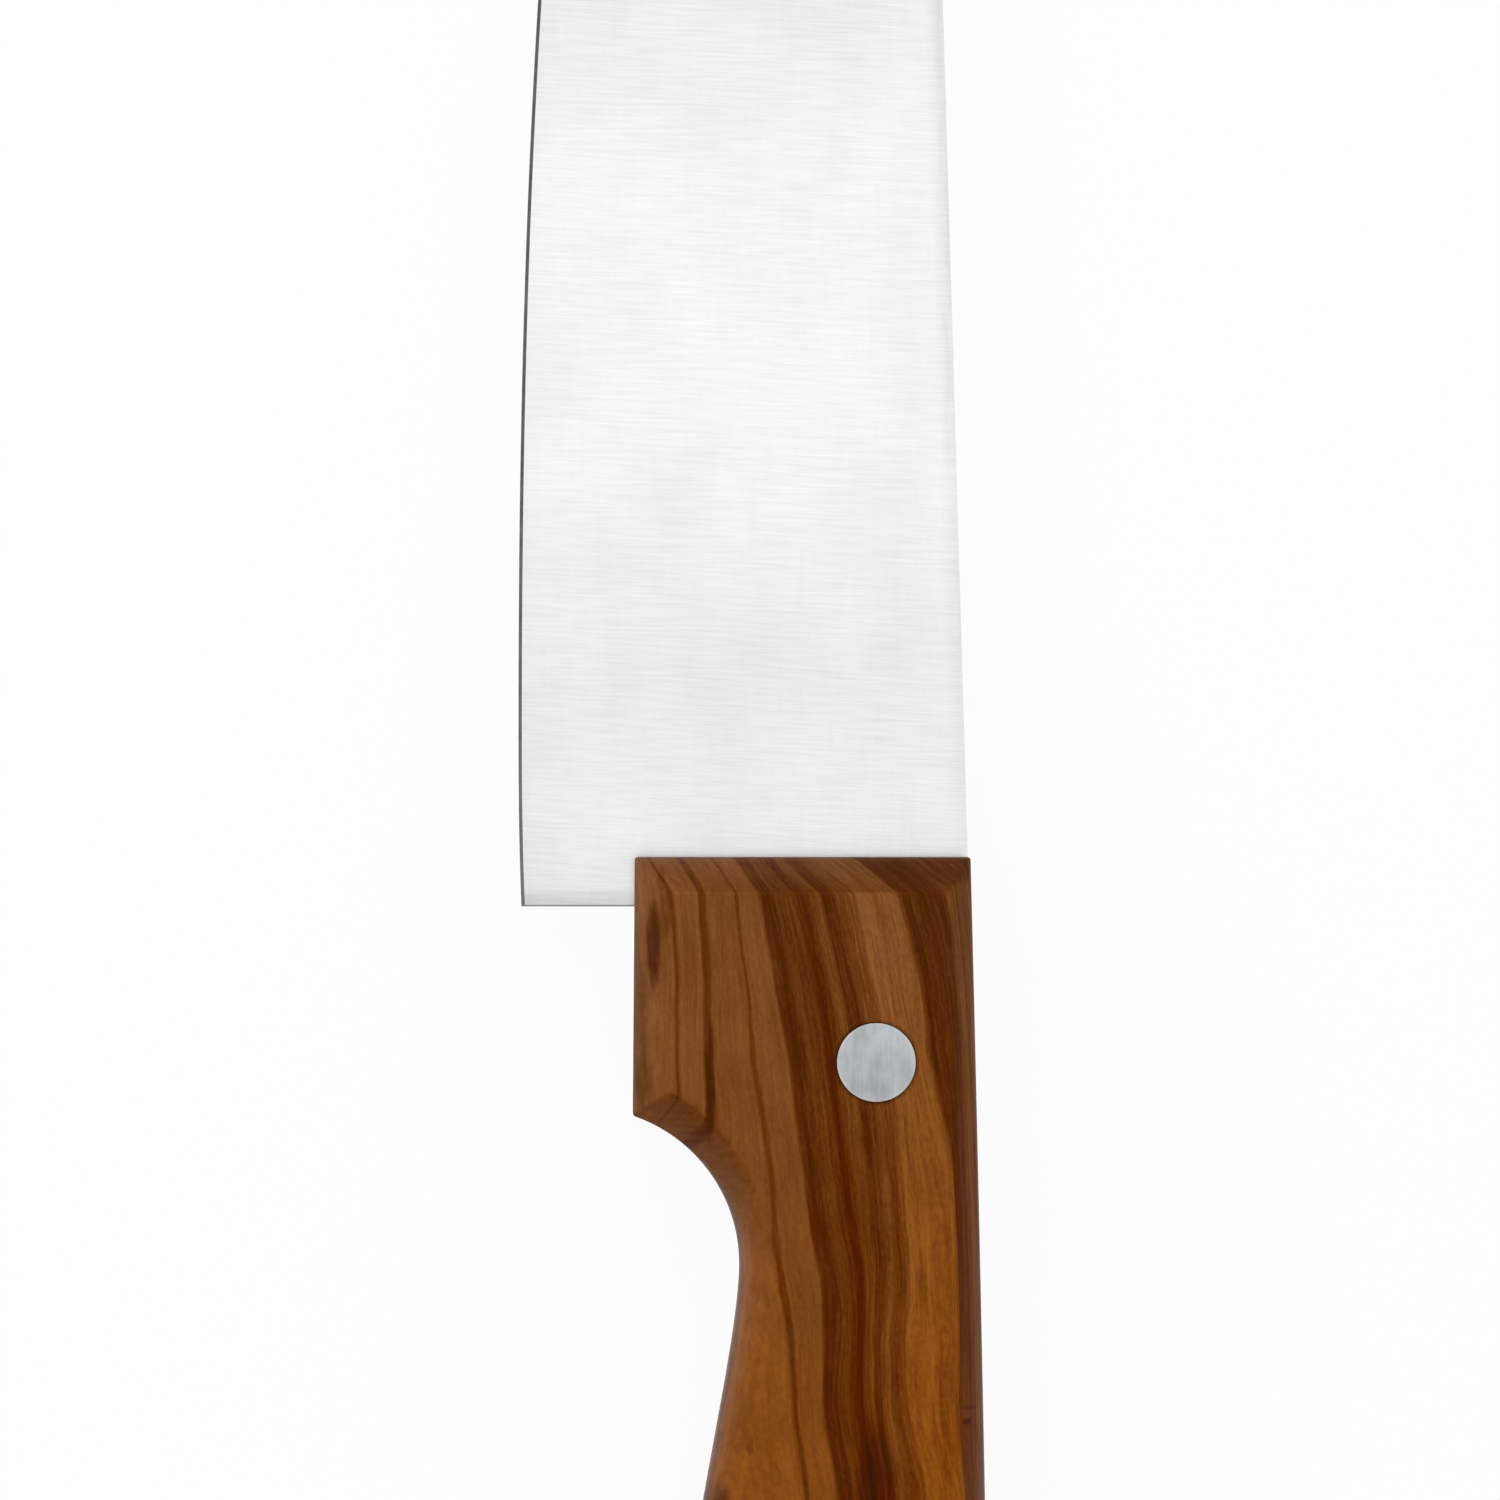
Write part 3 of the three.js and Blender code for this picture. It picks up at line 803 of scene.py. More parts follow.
# Scales
def scale_rings(handle):
    """Rings of the upper scale, from the tang up its wall and over its rim to the flat face."""
    yield outline_ring(handle, lambda rim: (0, handle.thickness))
    for step in range(RIM_STEPS + 1):
        def move(rim):
            inward, rise = rim_place(step, rim.roundness, handle.rim_softness)
            return rim.width * inward, rim.depth * (1 - rise)
        yield outline_ring(handle, move)


class SANTOKU_OT_scales(bpy.types.Operator):
    """Build the two wooden scales"""

    bl_idname = "santoku.scales"
    bl_label = "Scales"

    def execute(self, context):
        handle = context.scene.santoku_handle
        origin = datum()
        face = origin + Vector((0, 0, scale_face()))
        rings = [[face + point for point in ring] for ring in scale_rings(handle)]
        upper = loft("upper_olive_scale", rings)
        carve(upper, "DIFFERENCE", rivet_holes())
        lower = new_piece("lower_olive_scale", upper.data.copy())
        there = Matrix.Translation(origin)
        turn_over = Matrix.Scale(-1, 4, (0, 0, 1))
        lower.data.transform(there @ turn_over @ there.inverted())
        tidy_faces(lower)
        upper_face = origin.z + scale_face()
        lower_face = origin.z - scale_face()
        dress(upper, olive_wood("olive_wood_upper", handle, upper_face, 0.0))
        dress(lower, olive_wood("olive_wood_lower", handle, lower_face, LOWER_BOARD_SHIFT))
        stand_for(upper, "olive_wood", "upper_scale")
        stand_for(lower, "olive_wood", "lower_scale")
        return {"FINISHED"}


# Materials
def dress(piece, material):
    """Makes a material the only one on a piece."""
    piece.data.materials.clear()
    piece.data.materials.append(material)


def new_material(name):
    """A material with its tree and shader, and the piece's own coordinates in millimetres."""
    material = bpy.data.materials.new(name)
    material.use_nodes = True
    tree = material.node_tree
    place = tree.nodes.new("ShaderNodeTexCoord").outputs["Object"]
    millimetres = scaled(tree, place, 1 / MM)
    return material, tree, tree.nodes["Principled BSDF"], millimetres


def scaled(tree, vector, amount):
    """A vector or colour times a number or term."""
    node = tree.nodes.new("ShaderNodeVectorMath")
    node.operation = "SCALE"
    plug(tree, node.inputs[0], vector)
    plug(tree, node.inputs["Scale"], amount)
    return node.outputs[0]


def mixed(tree, operation, one, other):
    """Two colours multiplied or added."""
    node = tree.nodes.new("ShaderNodeVectorMath")
    node.operation = operation
    plug(tree, node.inputs[0], one)
    plug(tree, node.inputs[1], other)
    return node.outputs[0]


def noise(tree, place, patch, detail=2.0, turn=0.0):
    """Noise about 0, with patches of this size along x, y and z, turned in plan."""
    mapping = tree.nodes.new("ShaderNodeMapping")
    mapping.vector_type = "TEXTURE"
    plug(tree, mapping.inputs["Vector"], place)
    mapping.inputs["Scale"].default_value = patch
    mapping.inputs["Rotation"].default_value = (0, 0, turn)
    texture = tree.nodes.new("ShaderNodeTexNoise")
    plug(tree, texture.inputs["Vector"], mapping.outputs[0])
    texture.inputs["Scale"].default_value = 1.0
    texture.inputs["Detail"].default_value = detail
    return Term(tree, texture.outputs["Fac"]) - 0.5


def ramp(tree, value, stops):
    """A colour ramp through stops of place and colour."""
    node = tree.nodes.new("ShaderNodeValToRGB")
    plug(tree, node.inputs[0], value)
    elements = node.color_ramp.elements
    while len(elements) < len(stops):
        elements.new(1.0)
    for element, (place, tone) in zip(elements, stops):
        element.position = place
        element.color = (*tone, 1.0)
    return node.outputs["Color"]


def bump(tree, shader, height, depth, strength):
    """Roughens a shader's surface by a height term; depth is its real size, strength its share."""
    node = tree.nodes.new("ShaderNodeBump")
    node.inputs["Strength"].default_value = strength
    node.inputs["Distance"].default_value = depth
    plug(tree, node.inputs["Height"], height)
    plug(tree, shader.inputs["Normal"], node.outputs[0])


# Satin steel. A painted sheen: its faces are painted brightest at one place ahead of the handle.
SHEEN_PLACE = 55 * MM
SHEEN_HALF = 12 * MM
SHEEN_FALL = 26 * MM
SHEEN_GAIN = 0.093
FACE_SHADE = 0.957  # shade of the faces away from there
GRINDING_TURN = math.radians(-2.5)  # the grinding marks run almost straight across the blade
GRINDING_CONTRAST = 0.22
GRINDING_ROUGHNESS = 0.08
GRINDING_DEPTH = 0.004 * MM
GRINDING_RELIEF = 0.25
SMEAR_CONTRAST = 0.05
CLOUD_CONTRAST = 0.17
CLOUD_ROUGHNESS = 0.06
SATIN_ROUGHNESS = 0.18
# Strips of painted shade on the steel: what they lie along, how far they reach from it and how much
# darker they are
PAINTED_SHADE_STRIPS = (
    ("edge", 2.5 * MM, 0.02),
    ("handle", 3.5 * MM, 0.02),
    ("heel", 6.0 * MM, 0.04),
    ("heel", 2.4 * MM, 0.20),
    ("heel", 0.25 * MM, 0.60),
)
SPINE_STRIP = 2.0 * MM  # the strip of painted shade along the spine is smeared,
SPINE_SMEARS = 2.5
SPINE_PAINTED_SHADE = (0.03, 0.135)  # and grows darker from the handle on,
SPINE_PAINTED_SHADE_RUN = 60 * MM  # over this length

# Sharpened steel of the bevel, painted dark as a painted reflection of dark surroundings
BEVEL_SHADE = 0.9
LIGHT_BEVEL = 45.0  # it is lighter up to this many millimetres from the handle's front
LIGHT_BEVEL_GAIN = 0.35
STONE_CONTRAST = 0.6  # marks of the stone
STONE_ROUGHNESS = 0.2
BEVEL_WEAR = 0.9
BEVEL_ROUGHNESS = 0.4

# Sanded aluminium of the rivet heads
HEAD_SHADE = 0.99
HEAD_BORDER = 0.4  # reach of the painted highlight round the head's rim, in millimetres
HEAD_RIM_HIGHLIGHT = 0.1
HEAD_CLOUDS = 0.95
HEAD_ROUGHNESS = 0.42
SANDING_CONTRAST = 0.4
SANDING_ROUGHNESS = 0.3
SANDING_DEPTH = 0.005 * MM
SANDING_RELIEF = 0.3


def satin_steel(blade):
    """Steel ground across the blade: fine marks and clouds, a painted sheen ahead of the handle and
    painted shade along the edge, the handle, the spine and the heel.
    """
    material, tree, shader, place = new_material("satin_steel")
    marks = noise(tree, place, (5.5, 0.25, 5.5), detail=3.0, turn=GRINDING_TURN)
    smears = noise(tree, place, (0.7, 6.0, 0.7), detail=2.0)
    clouds = noise(tree, place, (11.0, 15.0, 11.0), detail=4.0)
    x, y, _ = split(tree, scaled(tree, place, MM))
    here = datum()
    across = x - here.x
    ahead = y - here.y
    lines = blade_lines({label: Term(tree, getattr(blade, label)) for label in BLADE_INPUTS})
    distance = {"edge": across - lines.edge(ahead), "handle": ahead, "heel": ahead - lines.heel}
    sheen = 1.0 - (((ahead - SHEEN_PLACE).then("ABSOLUTE") - SHEEN_HALF) / SHEEN_FALL).smooth()
    shade = FACE_SHADE + sheen * SHEEN_GAIN
    shade = shade + marks * GRINDING_CONTRAST + smears * SMEAR_CONTRAST + clouds * CLOUD_CONTRAST
    for line, reach, painted_shade in PAINTED_SHADE_STRIPS:
        shade = shade - distance[line].near(reach) * painted_shade
    least, most = SPINE_PAINTED_SHADE
    painted_shade = least + (ahead / SPINE_PAINTED_SHADE_RUN).clamped() * (most - least)
    strip = (lines.spine(ahead) - across).near(SPINE_STRIP)
    shade = shade - strip * painted_shade * (1.0 + smears * SPINE_SMEARS)
    plug(tree, shader.inputs["Base Color"], scaled(tree, (*blade.satin,), shade))
    roughness = SATIN_ROUGHNESS + marks * GRINDING_ROUGHNESS + clouds * CLOUD_ROUGHNESS
    plug(tree, shader.inputs["Roughness"], roughness)
    shader.inputs["Metallic"].default_value = 1.0
    bump(tree, shader, marks, GRINDING_DEPTH, GRINDING_RELIEF)
    return material


def sharpened_steel(blade):
    """The narrow bevel of the cutting edge, its darkness a painted reflection, with the marks of the
    stone.
    """
    material, tree, shader, place = new_material("sharpened_steel")
    marks = noise(tree, place, (3.0, 0.2, 3.0), detail=2.0)
    worn = noise(tree, place, (9.0, 2.0, 9.0), detail=2.0)
    _, y, _ = split(tree, place)
    by_handle = (y - datum().y / MM).near(LIGHT_BEVEL)
    shade = BEVEL_SHADE + by_handle * LIGHT_BEVEL_GAIN + marks * STONE_CONTRAST + worn * BEVEL_WEAR
    plug(tree, shader.inputs["Base Color"], scaled(tree, (*blade.bevel,), shade))
    plug(tree, shader.inputs["Roughness"], BEVEL_ROUGHNESS + marks * STONE_ROUGHNESS)
    shader.inputs["Metallic"].default_value = 1.0
    return material


def from_rivets(tree, place):
    """Distance in millimetres to the nearer rivet axis, in plan."""
    x, y, _ = split(tree, place)

    def from_axis(axis):
        u = x - axis.x / MM
        v = y - axis.y / MM
        return (u * u + v * v).then("SQRT")

    front, rear = rivet_places()
    return from_axis(front).at_most(from_axis(rear))


def sanded_aluminium(rivet):
    """Rivet heads sanded flush along the handle, with a painted highlight round their rims."""
    material, tree, shader, place = new_material("sanded_aluminium")
    lines = noise(tree, place, (0.2, 4.0, 4.0), detail=3.0)
    clouds = noise(tree, place, (2.6, 4.0, 2.6), detail=3.0)
    border = (from_rivets(tree, place) - rivet.head_diameter / 2 / MM).near(HEAD_BORDER)
    shade = HEAD_SHADE + lines * SANDING_CONTRAST + clouds * HEAD_CLOUDS + border * HEAD_RIM_HIGHLIGHT
    plug(tree, shader.inputs["Base Color"], scaled(tree, (*rivet.aluminium,), shade))
    plug(tree, shader.inputs["Roughness"], HEAD_ROUGHNESS + lines * SANDING_ROUGHNESS)
    shader.inputs["Metallic"].default_value = 1.0
    bump(tree, shader, lines, SANDING_DEPTH, SANDING_RELIEF)
    return material


# Olive wood, in millimetres. Its growth layers cross the handle: each is given where it starts
# and ends below the spine line, just behind the handle's front, with its darkness there and at
# the rear of the grip.
WOOD_LAYERS = (
    ("grey edge of the back", -1.9, -1.9, 0.66, 0.66),
    ("pale line of the back", -1.1, -1.1, 0.36, 0.56),
    ("red line of the back", -0.3, -0.3, 0.90, 0.76),
    ("orange stripe of the back", 0.4, 1.6, 0.46, 0.62),
    ("dark back layer", 2.3, 6.5, 0.98, 0.86),
    ("edge of the light band", 6.95, 6.95, 0.20, 0.24),
    ("broad light band", 8.9, 10.8, 0.10, 0.10),
    ("last dark line", 11.8, 11.8, 0.44, 0.82),
    ("rear layer", 12.75, 12.75, 0.52, 0.32),
    ("dark line before it", 13.7, 14.35, 0.98, 0.78),
    ("light stripe", 15.0, 15.0, 0.40, 0.44),
    ("rear brown layer", 15.7, 15.9, 0.56, 0.70),
    ("red heart line", 16.5, 17.0, 1.00, 1.06),
    ("main dark band", 17.5, 19.3, 0.66, 0.76),
    ("its dark border", 19.6, 20.8, 0.96, 1.00),
    ("light band", 21.1, 23.0, 0.26, 0.24),
    ("first thin line", 23.2, 23.3, 0.84, 0.86),
    ("light wood", 23.5, 26.2, 0.27, 0.12),
    ("second thin line", 26.45, 26.95, 0.78, 0.74),
    ("light wood", 27.2, 29.5, 0.24, 0.16),
    ("third thin line", 29.8, 29.8, 0.88, 0.70),
    ("nose wood", 30.1, 31.2, 0.20, 0.16),
    ("dark edge of the nose", 31.7, 31.7, 0.45, 0.30),
)
# Oval marks: place below the spine line, behind the front, half sizes and darkening.
WOOD_MARKS = (
    ("long stain on the nose", 31.7, 8.7, 0.8, 5.4, 0.75),
    ("stain beside it", 30.5, 5.6, 0.8, 3.4, 0.30),
    ("short stain on the nose", 30.9, 2.2, 0.5, 1.6, 0.30),
    ("dark corner of the nose", 32.9, 22.6, 0.8, 3.4, 0.30),
    ("wide end of the second line", 26.0, 22.6, 0.6, 8.0, 0.40),
    ("dark corner of the front", 3.0, 0.6, 7.0, 2.6, 0.38),
    ("spread of the red heart", 9.3, 66.0, 2.4, 12.0, 0.55),
    ("orange wood beside it", 2.1, 57.0, 1.2, 8.0, 0.18),
    ("pale streak beside that", 4.0, 53.0, 0.6, 6.5, -0.26),
    ("stain by the grip", 22.0, 59.2, 0.45, 1.3, 0.30),
    ("dark foot of the grip", 25.4, 65.2, 1.8, 2.8, 0.45),
    ("knot at the back", 0.2, 56.7, 0.55, 0.42, 0.60),
    ("lid of the knot", 0.0, 55.3, 1.0, 0.30, 0.26),
)
# Places where the layers bend aside: across them, half width, from behind the front, length, shift.
WOOD_BENDS = (
    ("bend of the dark back layer", 6.4, 3.0, 20.0, 12.0, -1.3),
    ("its way back", 6.4, 3.0, 46.0, 9.0, 1.3),
    ("its bend behind the knot", 5.6, 4.0, 57.0, 9.0, -1.8),
    ("bend of the rear layers", 12.8, 4.5, 40.0, 10.0, 1.2),
    ("bend of the dark band", 18.6, 5.0, 34.0, 10.0, -1.1),
    ("its way back", 18.6, 5.0, 45.0, 9.0, 1.0),
    ("last bend of all layers", 15.0, 14.0, 54.5, 10.0, -1.3),
)
LAYER_SPAN = (-3.0, 34.0)  # the figure is mirrored past these places
LAYER_DATUM = 4.85  # the layers are measured this far behind the front
REAR_PLACE = 60.0  # and this far behind it, at the rear of the grip
LAYER_DRIFT = 8.6  # the layers drift towards the back by this much,
DRIFT_LENGTH = 30.0  # most of it in this length,
DRIFT_FROM = 27.1  # from here below the spine line
DRIFT_TO = 16.0  # to here, above which they drift in full
LEAST_DRIFT = 0.2
LEAST_LEAN = 0.95  # the layers lean away from the back as they go deeper, by this much a millimetre
MOST_LEAN = 1.75  # and by this much near the back
LEAN_FROM = 23.0
LEAN_LENGTH = 10.0
LOWER_BOARD_SHIFT = 5.5  # the lower scale is cut from another place of the same board

# How strongly the grain shows, and how much more so in the rich wood on the back's side
WANDER = 1.2  # how far the layers wander aside
RAGGED = 0.3
RICH_RAGGED = 0.3
FIBRES = 0.55
PORES = 0.4
RICH_FIBRES = 0.6
STREAKS = 0.45
RICH_STREAKS = 0.65
PATCHES = 0.5
RICH_FROM = 21.5  # where the rich wood starts, across the layers
RICH_FADE = 2.0
MARK_CRISPNESS = 1.2
MARK_RAGGED = 0.3  # raggedness of the oval marks, as a share of their half length,
MOST_MARK_RAGGED = 0.8  # up to this

# Darker where a surface faces the front or the rear: partly the end grain's own colour, partly
# painted shade
END_GRAIN_RISE = 2.0  # how soon it shows as the surface turns
FRONT_GRAIN_AND_SHADE = (0.07, 0.38)  # its share at the front, by the nose and by the back
FRONT_GRAIN_FROM = 28.0  # where the one changes to the other, below the spine line
FRONT_GRAIN_FADE = 16.0
FRONT_GRAIN_TONE = 1.05
REAR_GRAIN_AND_SHADE = 0.45  # its share in the notch and at the butt
REAR_GRAIN_TONE = 0.72
REAR_GRAIN_PATCHES = 0.8
REAR_GRAIN_WISPS = 0.7
# faces towards the rear are darkened further, partly end grain and partly painted shade
REAR_FACING_DARKENING = 0.20

# Rims, told by the upright part of the surface's normal: 1 on the flat face and 0 on the walls.
# A pair is such a part, and how far to either side of it the effect reaches.
ARRIS = (0.96, 0.04)
ARRIS_HIGHLIGHT = 0.10  # painted highlight: the arris round the flat face is painted paler
RIM_TURN = (0.25, 0.28)
# the rims are painted darker where they turn down, which may be the photo's light
RIM_SHADE = 0.6  # painted shade where the rims turn down into the walls
BORDER_SHADE = 0.30  # and painted shade on the lower borders of the chamfers ahead of the notch,
BORDER_SHEEN = 2.6  # with more painted sheen
BORDER_DEPTH = 1.75
BORDER_DEPTH_FADE = 0.55
BORDER_UPRIGHT = 0.6
BORDER_UPRIGHT_FADE = 0.15
BORDER_END_FADE = 1.5
PAINTED_SHEEN = (0.014, 0.016, 0.012)  # a thin painted sheen, a grey reflection, is added on the rims,
HAZE_TURN = 0.1  # once they have turned this far from upright
HAZE_UPRIGHT = 0.35  # and down to this upright part, below which it fades,
HAZE_DEPTH = 2.3  # growing to this depth,
HAZE_DARKEST = 1.4  # and not on wood as dark as this
HAZE_DARK_FADE = 0.6
SEAT_SHADE = 0.45  # painted shade round the rivet heads
SEAT_REACH = 0.45

# The wood turns warmer to the rear, most of all near the back and in the dark bands
REAR_TINT = (1.06, 0.90, 0.42)
ORANGE_TINT = (1.0, 0.90, 0.42)
ORANGE_FROM = 14.0
ORANGE_FADE = 5.0
BROWN_TINT = (0.98, 0.88, 0.35)
BROWN_REACH = 4.5
HEART_TINT = (0.90, 0.55, 0.35)  # and is red along the heart,
HEART_PLACE = 16.75
HEART_REACH = 1.1
HEART_RISE = 2.5
HEART_SPREAD_FROM = 50.0  # which spreads towards the back in the rear
HEART_SPREAD_LENGTH = 16.0
HEART_SPREAD_SHIFT = 1.2
HEART_SPREAD_REACH = 1.5

# Its oiled surface
WOOD_ROUGHNESS = 0.42
FIBRE_ROUGHNESS = 0.25
GRAIN_DEPTH = 0.02 * MM
GRAIN_RELIEF = 0.2
OIL_GLOSS = 0.2
OIL_TINT = (1.0, 0.4, 0.1, 1.0)

# Where a point lies in the wood and the noise there; along goes from 0 at the front to 1 in the rear
Grain = namedtuple("Grain", "across below behind deep along rich fibres pores streaks patches ragged")


def grain_space(tree, place, outer_face, shift):
    """Where a point lies: across the wood's layers, below the spine line, behind the front, deep."""
    origin = datum() / MM
    x, y, z = split(tree, place)
    below = origin.x - x + shift
    behind = origin.y - y
    deep = (z - outer_face / MM).then("ABSOLUTE")
    by_back = ((LEAN_FROM - below) / LEAN_LENGTH).smooth()
    leaned = below - (LEAST_LEAN + by_back * (MOST_LEAN - LEAST_LEAN)) * deep
    moving = ((DRIFT_FROM - leaned) / (DRIFT_FROM - DRIFT_TO)).smooth()
    moving = LEAST_DRIFT + moving * (1 - LEAST_DRIFT)
    still_to_go = (behind / -DRIFT_LENGTH).then("EXPONENT")
    drift = LAYER_DRIFT * (math.exp(-LAYER_DATUM / DRIFT_LENGTH) - still_to_go)
    across = leaned + drift * moving
    for _, at_across, half_width, start, run, bend in WOOD_BENDS:
        bent = ((behind - start) / run).smooth() * bend
        across = across - (across - at_across).near(half_width) * bent
    return across, below, behind, deep


def wood_grain(tree, place, outer_face, shift):
    """The places and the noise that the wood's figure is made of."""
    across, below, behind, deep = grain_space(tree, place, outer_face, shift)
    wander = noise(tree, join(tree, across, behind, deep), (6.0, 16.0, 7.0), detail=2.0) * WANDER
    space = join(tree, across + wander, behind, deep)
    ragged = noise(tree, space, (0.4, 5.0, 0.8), detail=3.0)
    rich = ((RICH_FROM - across) / RICH_FADE).smooth()
    return Grain(
        across=across + wander + ragged * (RAGGED + rich * RICH_RAGGED),
        below=below,
        behind=behind,
        deep=deep,
        along=((behind - LAYER_DATUM) / (REAR_PLACE - LAYER_DATUM)).clamped(),
        rich=rich,
        fibres=noise(tree, space, (0.2, 4.5, 0.5), detail=3.0),
        pores=noise(tree, space, (0.22, 0.8, 0.3), detail=2.0),
        streaks=noise(tree, space, (0.5, 24.0, 2.5), detail=3.0),
        patches=noise(tree, space, (3.0, 7.0, 4.0), detail=4.0),
        ragged=ragged,
    )


def layer_ramp(tree, across, which):
    """Darkness across the growth layers, at the front or at the rear, as two ramps in a row."""
    first, last = LAYER_SPAN
    stops = []
    for _, start, end, *darkness in WOOD_LAYERS:
        for place in sorted({start, end}):
            stops.append(((place - first) / (last - first), (darkness[which],) * 3))
    mirrored = (across - first).then("PINGPONG", last - first) / (last - first)
    half = len(stops) // 2
    by_back = Term(tree, ramp(tree, mirrored, stops[:half]))
    by_edge = Term(tree, ramp(tree, mirrored, stops[half:]))
    leaving = stops[half - 1][0]
    arriving = stops[half][0]
    return by_back.towards(by_edge, ((mirrored - leaving) / (arriving - leaving)).clamped())


def figured(tree, grain):
    """Darkness of the layers, the oval marks and the fibres."""
    front, rear = (layer_ramp(tree, grain.across, which) for which in (0, 1))
    dark = front.towards(rear, grain.along)
    for _, at_below, at_behind, half_width, half_length, darkening in WOOD_MARKS:
        aside = grain.ragged * min(MOST_MARK_RAGGED, MARK_RAGGED * half_length)
        u = (grain.below + aside - at_below) / half_width
        v = (grain.behind - at_behind) / half_length
        dark = dark + ((1.0 - (u * u + v * v)) * MARK_CRISPNESS).smooth() * darkening
    dark = dark + (grain.fibres * FIBRES + grain.pores * PORES) * (1.0 + grain.rich * RICH_FIBRES)
    return dark + grain.streaks * (STREAKS + grain.rich * RICH_STREAKS) + grain.patches * PATCHES


def end_grain_and_shade(tree, place, grain, dark, to_front):
    """Darkness with the end grain of the front, the notch and the butt, and painted shade there."""
    by_nose, by_back = FRONT_GRAIN_AND_SHADE
    to_back = ((FRONT_GRAIN_FROM - grain.below) / FRONT_GRAIN_FADE).smooth()
    front = (to_front * END_GRAIN_RISE).smooth() * (by_nose + to_back * (by_back - by_nose))
    dark = dark.towards(FRONT_GRAIN_TONE, front)
    rear = (to_front * -END_GRAIN_RISE).smooth()
    wisps = noise(tree, place, (2.4, 0.45, 1.0), detail=3.0)
    dark = dark.towards(grain.patches * REAR_GRAIN_PATCHES + REAR_GRAIN_TONE, rear * REAR_GRAIN_AND_SHADE)
    return dark + rear * (REAR_FACING_DARKENING + wisps * REAR_GRAIN_WISPS)


def rimmed(handle, grain, dark, upright):
    """Darkness with the rims' painted shade and painted highlight, and the painted sheen on them."""
    arris, arris_reach = ARRIS
    turn, turn_reach = RIM_TURN
    dark = dark - (upright - arris).near(arris_reach) * ARRIS_HIGHLIGHT
    dark = dark + (upright - turn).near(turn_reach) * RIM_SHADE
    border = ((grain.deep - BORDER_DEPTH) / BORDER_DEPTH_FADE).smooth()
    border = border * ((upright - BORDER_UPRIGHT) / BORDER_UPRIGHT_FADE).smooth()
    border = border * ((handle.nose_length / MM - grain.behind) / BORDER_END_FADE).smooth()
    dark = dark + border * BORDER_SHADE
    painted_sheen = ((1.0 - upright) / HAZE_TURN).smooth() * (upright / HAZE_UPRIGHT).smooth()
    painted_sheen = painted_sheen * (grain.deep / HAZE_DEPTH).smooth()
    painted_sheen = painted_sheen * ((HAZE_DARKEST - dark) / HAZE_DARK_FADE).clamped()
    return dark, painted_sheen + border * BORDER_SHEEN


def wood_tones(tree, handle, dark):
    """The wood's colour by its darkness."""
    tones = (
        (-0.4, handle.pale_wood), (0.0, handle.light_wood), (0.2, handle.warm_wood),
        (0.5, handle.brown_wood), (0.75, handle.dark_wood), (1.0, handle.heart_wood),
        (1.6, handle.knot_wood),
    )
    palest = tones[0][0]
    span = tones[-1][0] - palest
    stops = [((darkness - palest) / span, tone) for darkness, tone in tones]
    return ramp(tree, (dark - palest) / span, stops)


def tinted(tree, grain, paint):
    """The wood's colour, warmer to the rear and red along the heart."""
    along = grain.along
    orange = along * ((ORANGE_FROM - grain.across) / ORANGE_FADE).smooth()
    brown = along * (grain.across - HEART_PLACE).near(BROWN_REACH)
    spread = ((grain.behind - HEART_SPREAD_FROM) / HEART_SPREAD_LENGTH).smooth()
    from_heart = grain.across + spread * HEART_SPREAD_SHIFT - HEART_PLACE
    heart = from_heart.near(HEART_REACH + spread * HEART_SPREAD_REACH)
    heart = (along * HEART_RISE).clamped() * heart
    for amount, tint in (
        (along, REAR_TINT), (orange, ORANGE_TINT), (brown, BROWN_TINT), (heart, HEART_TINT),
    ):
        wash = ramp(tree, amount, ((0.0, (1.0, 1.0, 1.0)), (1.0, tint)))
        paint = mixed(tree, "MULTIPLY", paint, wash)
    return paint


def olive_wood(name, handle, outer_face, shift):
    """Oiled olive wood with dark layers, thin lines, stains and fine fibres."""
    material, tree, shader, place = new_material(name)
    grain = wood_grain(tree, place, outer_face, shift)
    _, to_front, upright = split(tree, tree.nodes.new("ShaderNodeTexCoord").outputs["Normal"])
    dark = end_grain_and_shade(tree, place, grain, figured(tree, grain), to_front)
    dark, painted_sheen = rimmed(handle, grain, dark, upright.then("ABSOLUTE"))
    seat = from_rivets(tree, place) - bpy.context.scene.santoku_rivets.head_diameter / 2 / MM
    dark = dark + seat.near(SEAT_REACH) * SEAT_SHADE
    paint = tinted(tree, grain, wood_tones(tree, handle, dark))
    paint = mixed(tree, "ADD", paint, scaled(tree, PAINTED_SHEEN, painted_sheen))
    plug(tree, shader.inputs["Base Color"], paint)
    plug(tree, shader.inputs["Roughness"], WOOD_ROUGHNESS + grain.fibres * FIBRE_ROUGHNESS)
    shader.inputs["Specular IOR Level"].default_value = OIL_GLOSS
    shader.inputs["Specular Tint"].default_value = OIL_TINT
    bump(tree, shader, grain.fibres + grain.pores, GRAIN_DEPTH, GRAIN_RELIEF)
    return material


# Stage
KEY_PLACE = Vector((-0.5, 0.7, 1.0))  # where the key light hangs, turned to the origin


def seen_white(tree):
    """1 for the rays that show a white background: camera, reflections and glass."""
    path = tree.nodes.new("ShaderNodeLightPath")
    total = 0.0
    for ray in ("Is Camera Ray", "Is Glossy Ray", "Is Transmission Ray"):
        total = Term(tree, path.outputs[ray]) + total
    return total.at_most(1.0)


